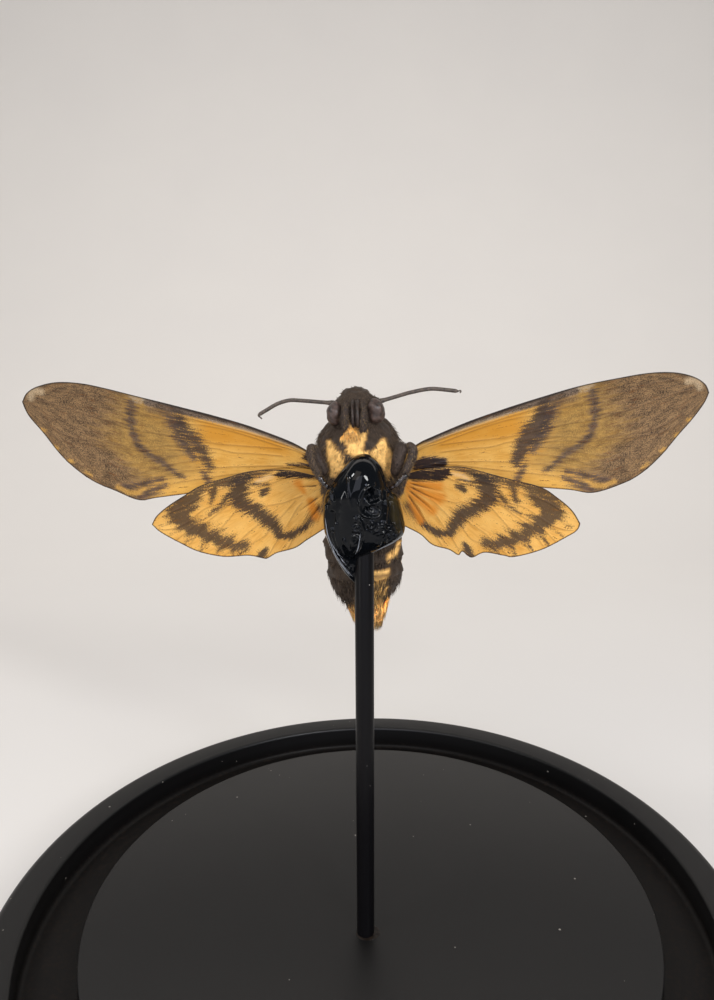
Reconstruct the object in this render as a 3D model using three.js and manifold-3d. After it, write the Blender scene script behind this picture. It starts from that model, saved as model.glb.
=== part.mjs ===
// A dried hawkmoth with spread wings, held by a lump of glue on a rod that stands in a round
// turned base. Millimetres, +Z up, origin at the centre of the base's underside. The moth's
// underside faces -Y.

import * as THREE from 'three';
import { mergeVertices } from 'three/addons/utils/BufferGeometryUtils.js';
import Module from 'manifold-3d';

const wasm = await Module();
wasm.setup();

// ---------------------------------------------------------------- driving dimensions

const gap = 0.3; // clear space between two pieces that touch

const base = {
  radius: 67.3,
  discTop: 18,
  discRadius: 50.9,
  rimTop: 18.5,
  rimInnerRadius: 60.8,
  grooveFloor: 13,
  edgeRound: 1,
  sides: 80,
};

const rod = {
  radius: 1.5,
  axis: [-0.94, -8.71],
  holeDepth: 10,
  top: 97.5,
  sides: 24,
};

// The moth's own frame: its origin is the middle of the thorax, X runs out along the right
// wing, Y towards its back and Z towards its head.
const moth = {
  place: [-1.88, 0, 100.33],
  lean: -2.3, // degrees: the head tips to the left
  yaw: -2.4, // degrees: the right wing swings forwards
};

// Body profiles are [height, half width] pairs in the moth's frame; depth scales Y.
const thorax = {
  depth: 0.92,
  back: 0.4,
  profile: [[-8.7, 6.2], [-6.5, 6.6], [-3, 7], [0, 7.1], [2, 6.7], [3.4, 5.9], [5, 5]],
};

const abdomen = {
  depth: 0.86,
  back: 0,
  shift: 0.2,
  profile: [
    [-29.6, 1.2], [-28, 2.3], [-25, 3.7], [-23.4, 5], [-21.6, 5.7], [-19.6, 5.9], [-17.4, 6.3],
    [-15, 6.4], [-12.4, 6.6], [-10.6, 6.5], [-9, 6.2],
  ],
};

const head = {
  depth: 1,
  back: 0,
  profile: [[5.3, 4.3], [6.8, 4.6], [8.7, 4], [10.2, 2.6], [10.9, 1.4]],
  top: 11.3,
};

const bodySides = 28;

const eye = { halfWidth: 1.2, halfDepth: 1.5, halfHeight: 2.1 };
const eyes = {
  eye_left: [-3.6, -2.3, 7],
  eye_right: [3.4, -2.4, 7.2],
};

const palp = { radius: 0.8, halfHeight: 2.2, halfDepth: 1.1 };
const palps = {
  palp_left: [-1.6, -4.9, 7],
  palp_right: [1.8, -4.9, 7.1],
};

const proboscis = { place: [0.1, -5.3, 7.3], width: 1.1, radius: 1.9, depth: 0.55 };

const antenna = { radius: 0.25, steps: 16, sides: 6 };
const antennae = {
  antenna_left: [
    [-4.4, 1.6, 8.4], [-7.6, 1.6, 9], [-10.4, 1.5, 9.1], [-13, 1.4, 8.4], [-15.5, 1.3, 7.3],
    [-16.1, 1.2, 6.8],
  ],
  antenna_right: [
    [4, 1.6, 8.4], [7.4, 1.6, 8.9], [11.4, 1.5, 10], [14.1, 1.4, 9.9], [16.3, 1.3, 9.7],
    [16.6, 1.2, 9.4],
  ],
};

// Wing outlines run from the root out along the leading edge and back along the trailing edge,
// as [out along X, height] in the moth's frame.
const wingThickness = 0.3;
const wingPoints = 64;
const wings = {
  forewing_left: {
    back: 3.6,
    outline: [
      [-7.2, -0.6], [-8.9, 0.4], [-15.3, 3.9], [-23.3, 6.5], [-36.2, 10.3], [-43.4, 12.4],
      [-47.7, 13.1], [-51.9, 12.9], [-54.8, 12], [-56.2, 10.7], [-56.1, 9.2], [-53.3, 4.9],
      [-49.4, -0.7], [-43.1, -5], [-38.1, -7.1], [-34.8, -6.7], [-27, -5.9], [-15, -5],
      [-7.2, -4.2],
    ],
  },
  forewing_right: {
    back: 3.6,
    outline: [
      [7.4, -0.4], [9.7, 1.1], [16.5, 4], [23, 6], [35.8, 9.5], [45.3, 11], [50, 11.1],
      [53.2, 10.6], [55.4, 9.4], [56.5, 7.7], [55.6, 5.9], [52, 1], [49, -2.6], [42.6, -7],
      [38.3, -8.2], [34.5, -7.6], [26, -6.6], [15, -5.4], [7.4, -4.4],
    ],
  },
  hindwing_left: {
    back: 2.7,
    outline: [
      [-7.2, -3.6], [-12, -2.6], [-18, -2.6], [-22.9, -3.6], [-30, -6.4], [-35.1, -9.9],
      [-36.1, -11.2], [-34.7, -12.6], [-28.5, -16.2], [-24.1, -17.1], [-19.8, -17.1],
      [-16.9, -17.7], [-14.9, -16.8], [-11.8, -16], [-9.7, -14.7], [-7.2, -12.6],
    ],
  },
  hindwing_right: {
    back: 2.7,
    outline: [
      [7.4, -3.8], [11.4, -3.1], [16.4, -2.9], [24.3, -5.2], [29.5, -6.9], [34.7, -10.9],
      [36.1, -13.2], [33.9, -15.5], [29.9, -17.5], [25.3, -18.6], [20.2, -17.8], [18, -18.5],
      [14.2, -17], [11.5, -16], [9.6, -14.2], [7.4, -12.8],
    ],
  },
};

// Each foreleg is a thigh up to the knee and a shin folded back down to the foot.
const leg = { thigh: 1.05, knee: 0.95, shinTop: 0.85, foot: 0.6, sides: 12 };
const forelegs = {
  foreleg_left: { hip: [-5, -5.9, -2.6], knee: [-7.3, -5, 1.8], foot: [-4.7, -7.4, -3.4] },
  foreleg_right: { hip: [6.1, -5.9, -2.8], knee: [8.9, -4.6, 1.4], foot: [6.5, -7, -3.8] },
};

// Glue lobes, each [across from the rod's axis, Y, height] with its half sizes.
const glueLobes = [
  { at: [-0.3, -8.9, 95.8], half: [4.3, 4.3, 6.1] },
  { at: [-1, -8.5, 90], half: [4.9, 4.1, 8.3] },
  { at: [3.3, -8.3, 91.2], half: [3.4, 3.6, 4.7] },
];

// ---------------------------------------------------------------- finishes

function finish(color, roughness, metalness = 0) {
  return new THREE.MeshStandardMaterial({ color, roughness, metalness });
}

const finishes = {
  paint: finish('#1b1a1a', 0.5),
  rod: finish('#141416', 0.35),
  glue: finish('#07080b', 0.08),
  fur: finish('#3a2e26', 0.95),
  eye: finish('#4b423f', 0.3),
  scale: finish('#46392f', 0.9),
  wing: finish('#b98a45', 0.75),
};

// ---------------------------------------------------------------- helpers

function merged(geometry) {
  const bare = geometry.index ? geometry.toNonIndexed() : geometry.clone();
  bare.deleteAttribute('normal');
  bare.deleteAttribute('uv');
  return mergeVertices(bare, 1e-4);
}

function toSolid(geometry) {
  const closed = merged(geometry);
  return new wasm.Manifold(new wasm.Mesh({
    numProp: 3,
    vertProperties: new Float32Array(closed.attributes.position.array),
    triVerts: new Uint32Array(closed.index.array),
  }));
}

function toGeometry(solid) {
  const mesh = solid.getMesh();
  const geometry = new THREE.BufferGeometry();
  geometry.setAttribute('position', new THREE.BufferAttribute(mesh.vertProperties, 3));
  geometry.setIndex(new THREE.BufferAttribute(mesh.triVerts, 1));
  geometry.computeVertexNormals();
  return geometry;
}

// A closed turned body about Z from [height, radius] pairs that run upwards.
function turned(profile, bottom, top, sides) {
  const points = [
    new THREE.Vector2(0, bottom),
    ...profile.map(([height, radius]) => new THREE.Vector2(radius, height)),
    new THREE.Vector2(0, top),
  ];
  return new THREE.LatheGeometry(points, sides).rotateX(Math.PI / 2);
}

function ellipsoid(at, half, across, up) {
  return new THREE.SphereGeometry(1, across, up)
    .rotateX(Math.PI / 2)
    .scale(...half)
    .translate(...at);
}

// A tapered bar between two points, with a round end over each.
function taperedBar(from, to, fromRadius, toRadius) {
  const start = new THREE.Vector3(...from);
  const along = new THREE.Vector3(...to).sub(start);
  const length = along.length();
  const roundEnd = (height, radius, angles) => angles.map((angle) => (
    [height + radius * Math.sin(angle), radius * Math.cos(angle)]));
  const sweep = [0, Math.PI / 6, Math.PI / 3];
  const profile = [
    ...roundEnd(0, fromRadius, sweep.map((angle) => -angle).reverse()),
    ...roundEnd(length, toRadius, sweep),
  ];
  const turn = new THREE.Quaternion().setFromUnitVectors(
    new THREE.Vector3(0, 0, 1), along.clone().normalize());
  return toSolid(turned(profile, -fromRadius, length + toRadius, leg.sides)
    .applyQuaternion(turn)
    .translate(...from));
}

function mesh(name, geometry, material) {
  const piece = new THREE.Mesh(geometry, material.clone());
  piece.name = name;
  return piece;
}

// ---------------------------------------------------------------- the stand

function displayBase() {
  const round = base.edgeRound;
  const half = round / 2;
  const outline = [
    [0, base.radius - round],
    [round, base.radius],
    [base.rimTop - round, base.radius],
    [base.rimTop - round * 0.3, base.radius - round * 0.3],
    [base.rimTop, base.radius - round],
    [base.rimTop, base.rimInnerRadius + half],
    [base.rimTop - half, base.rimInnerRadius],
    [base.grooveFloor, base.rimInnerRadius],
    [base.grooveFloor, base.discRadius],
    [base.discTop, base.discRadius],
  ];
  const body = turned(outline, 0, base.discTop, base.sides);
  const hole = new THREE.CylinderGeometry(
    rod.radius + gap, rod.radius + gap, rod.holeDepth * 2, rod.sides)
    .rotateX(Math.PI / 2)
    .translate(rod.axis[0], rod.axis[1], base.discTop);
  return mesh('display_base', toGeometry(toSolid(body).subtract(toSolid(hole))), finishes.paint);
}

function supportRod() {
  const bottom = base.discTop - rod.holeDepth + gap;
  const length = rod.top - bottom;
  const geometry = new THREE.CylinderGeometry(rod.radius, rod.radius, length, rod.sides)
    .rotateX(Math.PI / 2);
  const piece = mesh('support_rod', geometry, finishes.rod);
  piece.position.set(rod.axis[0], rod.axis[1], bottom + length / 2);
  return piece;
}

// ---------------------------------------------------------------- the moth's body

function bodyShape(part, grow = 0) {
  const grown = part.profile.map(([height, radius]) => [height, radius + grow]);
  const bottom = part.profile[0][0] - grow;
  const top = (part.top ?? part.profile.at(-1)[0]) + grow;
  const ends = [[bottom, grown[0][1]], ...grown.slice(1, -1), [grown.at(-1)[0], grown.at(-1)[1]]];
  return turned(ends, bottom, top, bodySides)
    .scale(1, part.depth, 1)
    .translate(part.shift ?? 0, part.back, 0);
}

function eyeShape(at, grow = 0) {
  const half = [eye.halfWidth + grow, eye.halfDepth + grow, eye.halfHeight + grow];
  return ellipsoid(at, half, 14, 10);
}

function palpShape(at, grow = 0) {
  const half = [palp.radius + grow, palp.halfDepth + grow, palp.halfHeight + grow];
  return ellipsoid(at, half, 12, 10);
}

function proboscisShape(grow = 0) {
  const coil = proboscis.radius + grow;
  return new THREE.CylinderGeometry(coil, coil, proboscis.width + grow * 2, 20)
    .rotateZ(Math.PI / 2)
    .scale(1, proboscis.depth, 1)
    .translate(...proboscis.place);
}

function headPieces() {
  const pieces = [];
  let skull = toSolid(bodyShape(head));
  for (const [name, at] of Object.entries(eyes)) {
    skull = skull.subtract(toSolid(eyeShape(at, gap)));
    pieces.push(mesh(name, eyeShape(at), finishes.eye));
  }
  const tongue = toSolid(proboscisShape());
  skull = skull.subtract(toSolid(proboscisShape(gap)));
  for (const [name, at] of Object.entries(palps)) {
    skull = skull.subtract(toSolid(palpShape(at, gap)));
    const shape = toSolid(palpShape(at)).subtract(toSolid(proboscisShape(gap)));
    pieces.push(mesh(name, toGeometry(shape), finishes.scale));
  }
  pieces.push(mesh('proboscis', toGeometry(tongue), finishes.scale));
  pieces.push(mesh('head', toGeometry(skull), finishes.fur));
  return pieces;
}

function antennaPiece(name, points) {
  const route = new THREE.CatmullRomCurve3(points.map((point) => new THREE.Vector3(...point)));
  const section = new THREE.Shape();
  section.absarc(0, 0, antenna.radius, 0, Math.PI * 2);
  const geometry = new THREE.ExtrudeGeometry(section, {
    extrudePath: route,
    steps: antenna.steps,
    curveSegments: antenna.sides,
    bevelEnabled: false,
  });
  return mesh(name, geometry, finishes.scale);
}

function legShape({ hip, knee, foot }, grow = 0) {
  const thigh = taperedBar(hip, knee, leg.thigh + grow, leg.knee + grow);
  const shin = taperedBar(knee, foot, leg.shinTop + grow, leg.foot + grow);
  return thigh.add(shin);
}

// The thorax is cut clear of the face and of the forelegs that lie against it.
function thoraxPiece() {
  let chest = toSolid(bodyShape(thorax)).subtract(toSolid(proboscisShape(gap)));
  for (const at of Object.values(eyes)) {
    chest = chest.subtract(toSolid(eyeShape(at, gap)));
  }
  for (const at of Object.values(palps)) {
    chest = chest.subtract(toSolid(palpShape(at, gap)));
  }
  for (const limb of Object.values(forelegs)) {
    chest = chest.subtract(legShape(limb, gap));
  }
  return mesh('thorax', toGeometry(chest), finishes.fur);
}

// ---------------------------------------------------------------- the wings

function wingPiece(name, { back, outline }) {
  const edge = new THREE.SplineCurve(outline.map((point) => new THREE.Vector2(...point)));
  const shape = new THREE.Shape(edge.getPoints(wingPoints));
  const geometry = new THREE.ExtrudeGeometry(shape, {
    depth: wingThickness,
    steps: 1,
    bevelEnabled: false,
  });
  geometry.rotateX(Math.PI / 2); // the drawn height becomes Z, the thickness runs to -Y
  const piece = mesh(name, geometry, finishes.wing);
  piece.position.y = back + wingThickness;
  return piece;
}

// ---------------------------------------------------------------- the glue

function glueBlob(mothMatrix) {
  const [rodX, rodY] = rod.axis;
  let blob = null;
  for (const { at, half } of glueLobes) {
    const lobe = toSolid(ellipsoid([rodX + at[0], at[1], at[2]], half, 20, 14));
    blob = blob ? blob.add(lobe) : lobe;
  }
  const reach = 40;
  const rodSpace = new THREE.CylinderGeometry(rod.radius + gap, rod.radius + gap, reach, rod.sides)
    .rotateX(Math.PI / 2)
    .translate(rodX, rodY, rod.top + gap - reach / 2);
  blob = blob.subtract(toSolid(rodSpace));
  for (const part of [thorax, abdomen]) {
    blob = blob.subtract(toSolid(bodyShape(part, gap).applyMatrix4(mothMatrix)));
  }
  for (const limb of Object.values(forelegs)) {
    const space = toGeometry(legShape(limb, gap)).applyMatrix4(mothMatrix);
    blob = blob.subtract(toSolid(space));
  }
  return mesh('glue_blob', toGeometry(blob), finishes.glue);
}

// ---------------------------------------------------------------- assembly

const group = new THREE.Group();
group.add(displayBase(), supportRod());

const mothGroup = new THREE.Group();
mothGroup.position.set(...moth.place);
mothGroup.rotation.set(
  0,
  THREE.MathUtils.degToRad(moth.lean),
  THREE.MathUtils.degToRad(moth.yaw),
  'ZYX');
mothGroup.updateMatrixWorld(true);
group.add(mothGroup);

mothGroup.add(thoraxPiece());
mothGroup.add(mesh('abdomen', bodyShape(abdomen), finishes.fur));
mothGroup.add(...headPieces());
for (const [name, points] of Object.entries(antennae)) {
  mothGroup.add(antennaPiece(name, points));
}
for (const [name, wing] of Object.entries(wings)) {
  mothGroup.add(wingPiece(name, wing));
}
for (const [name, limb] of Object.entries(forelegs)) {
  mothGroup.add(mesh(name, toGeometry(legShape(limb)), finishes.scale));
}

group.add(glueBlob(mothGroup.matrixWorld));

export default group;
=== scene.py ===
import math

import bmesh
import bpy
import numpy as np
from mathutils import Matrix, Vector, noise
from mathutils.bvhtree import BVHTree


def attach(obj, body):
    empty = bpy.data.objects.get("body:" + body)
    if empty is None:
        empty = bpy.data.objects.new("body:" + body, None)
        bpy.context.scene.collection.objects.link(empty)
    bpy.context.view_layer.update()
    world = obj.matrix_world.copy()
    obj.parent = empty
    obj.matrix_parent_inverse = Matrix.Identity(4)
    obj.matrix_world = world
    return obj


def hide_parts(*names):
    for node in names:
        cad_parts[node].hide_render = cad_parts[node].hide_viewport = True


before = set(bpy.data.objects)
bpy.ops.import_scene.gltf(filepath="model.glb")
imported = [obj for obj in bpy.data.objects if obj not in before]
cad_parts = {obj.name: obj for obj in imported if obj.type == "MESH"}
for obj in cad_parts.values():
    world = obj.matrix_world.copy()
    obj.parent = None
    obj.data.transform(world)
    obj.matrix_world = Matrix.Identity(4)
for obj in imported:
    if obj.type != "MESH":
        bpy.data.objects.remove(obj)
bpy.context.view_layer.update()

scene = bpy.context.scene
mm = 0.001
rng = np.random.default_rng(41)


def linearColour(code):
    # sRGB hex to the linear values that Blender's sockets take
    parts = [int(code[i:i + 2], 16) / 255 for i in (1, 3, 5)]
    linear = [c / 12.92 if c <= 0.04045 else ((c + 0.055) / 1.055) ** 2.4 for c in parts]
    return (*linear, 1.0)


def addNode(tree, kind, inputs=None, output=None, **settings):
    # sockets among the inputs are linked, hex colours turned linear, other values set as they are;
    # gives that output if one is named
    node = tree.nodes.new("ShaderNode" + kind)
    for name, value in settings.items():
        setattr(node, name, value)
    for name, value in (inputs or {}).items():
        if isinstance(value, bpy.types.NodeSocket):
            tree.links.new(value, node.inputs[name])
        else:
            node.inputs[name].default_value = linearColour(value) if type(value) is str else value
    return node if output is None else node.outputs[output]


def newMaterial(name, shaderInputs):
    material = bpy.data.materials.new(name)
    material.use_nodes = True
    shader = material.node_tree.nodes["Principled BSDF"]
    for socket, value in shaderInputs.items():
        shader.inputs[socket].default_value = value
    return material, material.node_tree


def linkShader(material, sources):
    # joins the finished patterns to the shader
    tree = material.node_tree
    for socket, source in sources.items():
        tree.links.new(source, tree.nodes["Principled BSDF"].inputs[socket])
    return material


def addPiece(name, source, materials, slot, *cadNodes):
    # source is a bmesh or a finished mesh, already in place and in metres
    if isinstance(source, bmesh.types.BMesh):
        mesh = bpy.data.meshes.new(name)
        source.to_mesh(mesh)
        source.free()
    else:
        mesh = source
    mesh.shade_smooth()
    for material in materials:
        mesh.materials.append(material)
    piece = bpy.data.objects.new(name, mesh)
    scene.collection.objects.link(piece)
    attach(piece, "root")
    if cadNodes:
        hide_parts(*cadNodes)
    return piece


def smoothLine(points, steps=12):
    # Catmull-Rom through the points
    p = np.array(points, float)
    p = np.vstack([2 * p[0] - p[1], p, 2 * p[-1] - p[-2]])
    t = np.linspace(0, 1, steps, endpoint=False)[:, None]
    rows = []
    for a, b, c, d in zip(p, p[1:], p[2:], p[3:]):
        rows.append(0.5 * (2 * b + (c - a) * t + (2 * a - 5 * b + 4 * c - d) * t ** 2
                           + (3 * b - a - 3 * c + d) * t ** 3))
    return np.vstack(rows + [p[-2:-1]])


def smoothStep(low, high, value):
    t = np.clip((value - low) / (high - low), 0, 1)
    return t * t * (3 - 2 * t)


def lineDistance(points, line):
    # shortest distance from each point to a broken line, and the line's third value there
    line = np.array(line, float)
    best = np.full(len(points), 1e9)
    width = np.zeros(len(points))
    for a, b in zip(line, line[1:]):
        ab = b[:2] - a[:2]
        t = np.clip(((points - a[:2]) @ ab) / max(ab @ ab, 1e-12), 0, 1)
        d = np.linalg.norm(points - a[:2] - t[:, None] * ab, axis=1)
        nearer = d < best
        best[nearer] = d[nearer]
        if line.shape[1] > 2:
            width[nearer] = (a[2] + t * (b[2] - a[2]))[nearer]
    return best, width


def patchField(points, lines, softness):
    # 1 inside drawn lines of (x, z, width), fading to 0 over the softness
    field = np.zeros(len(points))
    for line in lines:
        far, width = lineDistance(points, line)
        field = np.maximum(field, 1 - smoothStep(-softness, softness, far - width / 2))
    return field


def spinProfile(bm, points, steps):
    # (radius, height) pairs turned about Z into a closed body
    verts = [bm.verts.new((r, 0, z)) for r, z in points]
    edges = [bm.edges.new(pair) for pair in zip(verts, verts[1:])]
    bmesh.ops.spin(bm, geom=verts + edges, cent=(0, 0, 0), axis=(0, 0, 1), angle=2 * math.pi,
                   steps=steps, use_merge=True)
    bmesh.ops.remove_doubles(bm, verts=bm.verts, dist=1e-5)
    bmesh.ops.recalc_face_normals(bm, faces=bm.faces)


def turnPiece(name, profile, at, steps, finish, slot, node):
    # a turned piece of the stand; its edges stay crisp
    bm = bmesh.new()
    spinProfile(bm, profile, steps)
    bmesh.ops.translate(bm, vec=(*at, 0), verts=bm.verts)
    bmesh.ops.scale(bm, vec=(mm, mm, mm), verts=bm.verts)
    piece = addPiece(name, bm, [finish], slot, node)
    piece.data.set_sharp_from_angle(angle=math.radians(50))


def paintLayers(bm, fields):
    # stores a value for each point, which the materials read
    for key, values in fields.items():
        layer = bm.verts.layers.float.new(key)
        for v, value in zip(bm.verts, values):
            v[layer] = value


def spreadRadii(radii, line):
    # a radius for each point of the line
    return np.interp(np.linspace(0, 1, len(line)), np.linspace(0, 1, len(radii)), radii)


def sweepTube(bm, line, radii, sides):
    # a closed tube: one capped ring is extruded from point to point along the line
    line = [Vector(p) for p in line]
    ring = bmesh.ops.create_circle(bm, cap_ends=True, segments=sides, radius=1.0)["verts"]
    face = ring[0].link_faces[0]
    corners = [v.co.copy() for v in face.verts]
    tube = list(ring)
    facing = Vector((0, 0, 1))
    turn = Matrix.Identity(3)
    for i, (point, radius) in enumerate(zip(line, radii)):
        if i:
            # with its edges given, the face moves on and leaves no wall inside; the first one stays
            made = bmesh.ops.extrude_face_region(bm, geom=[face, *face.edges])["geom"]
            face = next(g for g in made if isinstance(g, bmesh.types.BMFace))
            tube += face.verts
        ahead = (line[min(i + 1, len(line) - 1)] - line[max(i - 1, 0)]).normalized()
        turn = facing.rotation_difference(ahead).to_matrix() @ turn
        facing = ahead
        for v, corner in zip(face.verts, corners):
            v.co = point + turn @ (corner * radius)
    bmesh.ops.recalc_face_normals(bm, faces=bm.faces)
    return tube


def addBall(bm, at, half, detail, turn=None):
    # an ellipsoid from an icosphere
    placed = Matrix.Translation(at) @ (turn or Matrix.Identity(4)) @ Matrix.Diagonal((*half, 1))
    return bmesh.ops.create_icosphere(bm, subdivisions=detail, radius=1, matrix=placed)["verts"]


def roughen(bm, verts, size, depth, seed):
    # moves points along their normals by smooth noise of that size
    bm.normal_update()
    moves = [v.normal * depth * noise.noise(v.co / size + Vector((seed, 0, 0))) for v in verts]
    for v, move in zip(verts, moves):
        v.co += move


camera = {
    "place": (1.07, -124.94, 121.09),  # mm
    "down": math.degrees(0.222),
    "lens": 28.22,
    "shiftX": -0.0203,
    "near": 5, "far": 20000,  # mm
}


def addCamera():
    data = bpy.data.cameras.new("camera")
    data.lens = camera["lens"]
    data.shift_x = camera["shiftX"]
    data.clip_start, data.clip_end = camera["near"] * mm, camera["far"] * mm
    holder = bpy.data.objects.new("camera", data)
    holder.location = Vector(camera["place"]) * mm
    holder.rotation_euler = (math.radians(90 - camera["down"]), 0, 0)
    scene.collection.objects.link(holder)
    scene.camera = holder


addCamera()
print("camera placed")


# the heights in mm between which the groove turns dusty, and between which its reflection is turned
# down to the gloss value as painted shade in the groove
grooveLook = {"dusty": (15, 13.2), "dull": (16, 13.5), "gloss": 0.12, "dust": "#43352a"}


def blackFinish(name, settings):
    # paint with lint on it: one in a few of the cells holds a fleck, and dust lies in the groove
    material, tree = newMaterial(name, settings["shader"])
    place = addNode(tree, "TexCoord", output="Object")
    height = addNode(tree, "SeparateXYZ", {"Vector": place}, "Z")
    cells = addNode(tree, "TexVoronoi", {"Vector": place, "Scale": 1 / (settings["cell"] * mm)})
    pick = addNode(tree, "SeparateColor", {"Color": cells.outputs["Color"]}, "Red")
    size = addNode(tree, "MapRange", {
        "Value": pick, "From Min": settings["clear"], "From Max": 1.0, "To Min": 0.0,
        "To Max": settings["fleck"] / settings["cell"]}, "Result")
    fleck = addNode(tree, "Math", {0: cells.outputs["Distance"], 1: size}, 0,
                    operation="LESS_THAN")
    bloom = addNode(tree, "TexNoise", {  # clouds of 30 mm
        "Vector": place, "Scale": 1 / (30 * mm), "Detail": 3}, 0)
    paint = addNode(tree, "Mix", {0: bloom, 6: settings["paint"], 7: settings["worn"]}, 2,
                    data_type="RGBA")
    inGroove = addNode(tree, "MapRange", {
        "Value": height, "From Min": grooveLook["dusty"][0] * mm,
        "From Max": grooveLook["dusty"][1] * mm, "To Max": settings["dust"]}, "Result")
    powder = addNode(tree, "TexNoise", {  # grains of 0.8 mm
        "Vector": place, "Scale": 1 / (0.8 * mm), "Detail": 4, "Roughness": 0.7}, 0)
    powder = addNode(tree, "MapRange", {"Value": powder, "From Min": 0.5, "From Max": 0.72,
                                        "To Min": 0.04, "To Max": 0.4}, "Result")
    powder = addNode(tree, "Math", {0: powder, 1: inGroove}, 0, operation="MULTIPLY")
    dusted = addNode(tree, "Mix", {0: powder, 6: paint, 7: grooveLook["dust"]}, 2,
                     data_type="RGBA")
    flecked = addNode(tree, "Mix", {0: fleck, 6: dusted, 7: settings["lint"]}, 2,
                      data_type="RGBA")
    rough = addNode(tree, "MapRange", {"Value": bloom, "To Min": settings["smooth"],
                                       "To Max": settings["rough"]}, "Result")
    rough = addNode(tree, "Math", {0: rough, 1: powder}, 0, operation="ADD", use_clamp=True)
    # painted shade: the groove's reflection is turned down so that it reads darker, standing in for
    # the shade that falls into it
    gloss = addNode(tree, "MapRange", {
        "Value": height, "From Min": grooveLook["dull"][0] * mm,
        "From Max": grooveLook["dull"][1] * mm,
        "To Min": settings["shader"]["Specular IOR Level"], "To Max": grooveLook["gloss"]},
        "Result")
    peel = addNode(tree, "TexNoise", {  # orange peel of 0.7 mm
        "Vector": place, "Scale": 1 / (0.7 * mm), "Detail": 2}, 0)
    bump = addNode(tree, "Bump", {"Height": peel, "Strength": 0.08, "Distance": 0.05 * mm},
                   "Normal")
    return linkShader(material, {"Base Color": flecked, "Roughness": rough,
                                 "Specular IOR Level": gloss, "Normal": bump})


# satin black spray paint over turned, sanded wood: a soft grey sheen at a low angle, fine
# orange peel, white lint and brown dust in the groove
satinBlackPaintedWood = blackFinish("satinBlackPaintedWood", {
    "shader": {"IOR": 1.5, "Specular IOR Level": 0.33}, "paint": "#0c0b0b",
    "worn": "#100f0f", "lint": "#85807a", "cell": 3.0, "clear": 0.3, "fleck": 0.22, "dust": 0.5,
    "smooth": 0.34, "rough": 0.46})
# black painted steel: a dark, smooth rod that shows a faint highlight along its side
blackPaintedSteel = blackFinish("blackPaintedSteel", {
    "shader": {"IOR": 1.5, "Specular IOR Level": 0.13}, "paint": "#09080a", "worn": "#0c0b0c",
    "lint": "#7f7b77", "cell": 2.0, "clear": 0.5, "fleck": 0.12, "dust": 0.0, "smooth": 0.3,
    "rough": 0.4})


base = {
    "radius": 67.3, "discTop": 18.0, "discRadius": 50.9, "rimTop": 18.45, "rimInner": 60.8,
    "grooveFloor": 13.0, "footRound": 0.8, "outerRound": 1.9, "innerRound": 0.7,
    "discRound": 0.22, "cove": 1.1, "steps": 180,
}
rod = {"radius": 1.5, "axis": (-0.94, -8.71), "top": 97.5, "topRound": 0.3, "bottom": 8.3,
       "sides": 40}


def arcPoints(centre, radius, start, end, count=6):
    # points on an arc, angles in degrees
    angles = np.radians(np.linspace(start, end, count))
    return [(centre[0] + radius * math.cos(a), centre[1] + radius * math.sin(a)) for a in angles]


def buildBase():
    outer, inner, disc = base["outerRound"], base["innerRound"], base["discRound"]
    cove, foot, floor = base["cove"], base["footRound"], base["grooveFloor"]
    profile = [(0, 0), (base["radius"] - 1.5 * foot, 0)]
    profile += arcPoints((base["radius"] - foot, foot), foot, -90, 0, 4)
    profile += arcPoints((base["radius"] - outer, base["rimTop"] - outer), outer, 0, 90, 9)
    profile += arcPoints((base["rimInner"] + inner, base["rimTop"] - inner), inner, 90, 180, 6)
    profile += arcPoints((base["rimInner"] - cove, floor + cove), cove, 0, -90, 6)
    profile += arcPoints((base["discRadius"] + cove / 2, floor + cove / 2), cove / 2, -90, -180, 4)
    profile += arcPoints((base["discRadius"] - disc, base["discTop"] - disc), disc, 0, 90, 4)
    profile += [(0, base["discTop"])]
    turnPiece("display_base_turned", profile, (0, 0), base["steps"], satinBlackPaintedWood,
              "black_paint", "display_base")


def buildRod():
    radius, top, bottom, edge = rod["radius"], rod["top"], rod["bottom"], rod["topRound"]
    profile = [(0, bottom), (radius, bottom)]
    profile += arcPoints((radius - edge, top - edge), edge, 0, 90, 4) + [(0, top)]
    turnPiece("support_rod_painted", profile, rod["axis"], rod["sides"], blackPaintedSteel,
              "black_rod", "support_rod")


buildBase()
buildRod()
print("stand built")


# the moth's own frame: X along the right wing, Z to the head, Y to its back
moth = {"place": (-1.88, 0, 100.33), "lean": -2.3, "yaw": -2.4}
mothToWorld = (Matrix.Diagonal((mm, mm, mm, 1)) @ Matrix.Translation(moth["place"])
               @ Matrix.Rotation(math.radians(moth["yaw"]), 4, "Z")
               @ Matrix.Rotation(math.radians(moth["lean"]), 4, "Y"))


def placePiece(name, bm, materials, slot, *nodes):
    # a piece of the moth, put where the rod holds it
    bmesh.ops.transform(bm, matrix=mothToWorld, verts=bm.verts)
    return addPiece(name, bm, materials, slot, *nodes)


wingCommon = {
    "thickness": 0.12, "columns": 230, "rows": 84,
    # the textures lie true to size on a forewing this wide, and this far out on a hindwing
    "mapWidth": 14.0, "mapRadius": 15.0, "fanCentre": (3.0, -2.5),
    "tipCrowding": 1.45,  # how much closer the columns stand at the round tip
    # over how many mm each marking fades
    "soft": {"band": 1.3, "softBand": 1.3, "pale": 0.9, "smoke": 2.0, "ochre": 0.8, "teeth": 1.1,
             "fan": 0.9, "plate": 0.5},
    "veinWidth": 0.15, "edgeWidth": 0.2, "rimWidth": 0.42, "foldWidth": 0.15,
    "camber": 0.045,  # as a share of the wing's width
    "veinSink": 0.09, "foldRise": 0.3, "plateSink": 0.15, "costaRoll": 0.35, "wave": 0.16,
}

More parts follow.
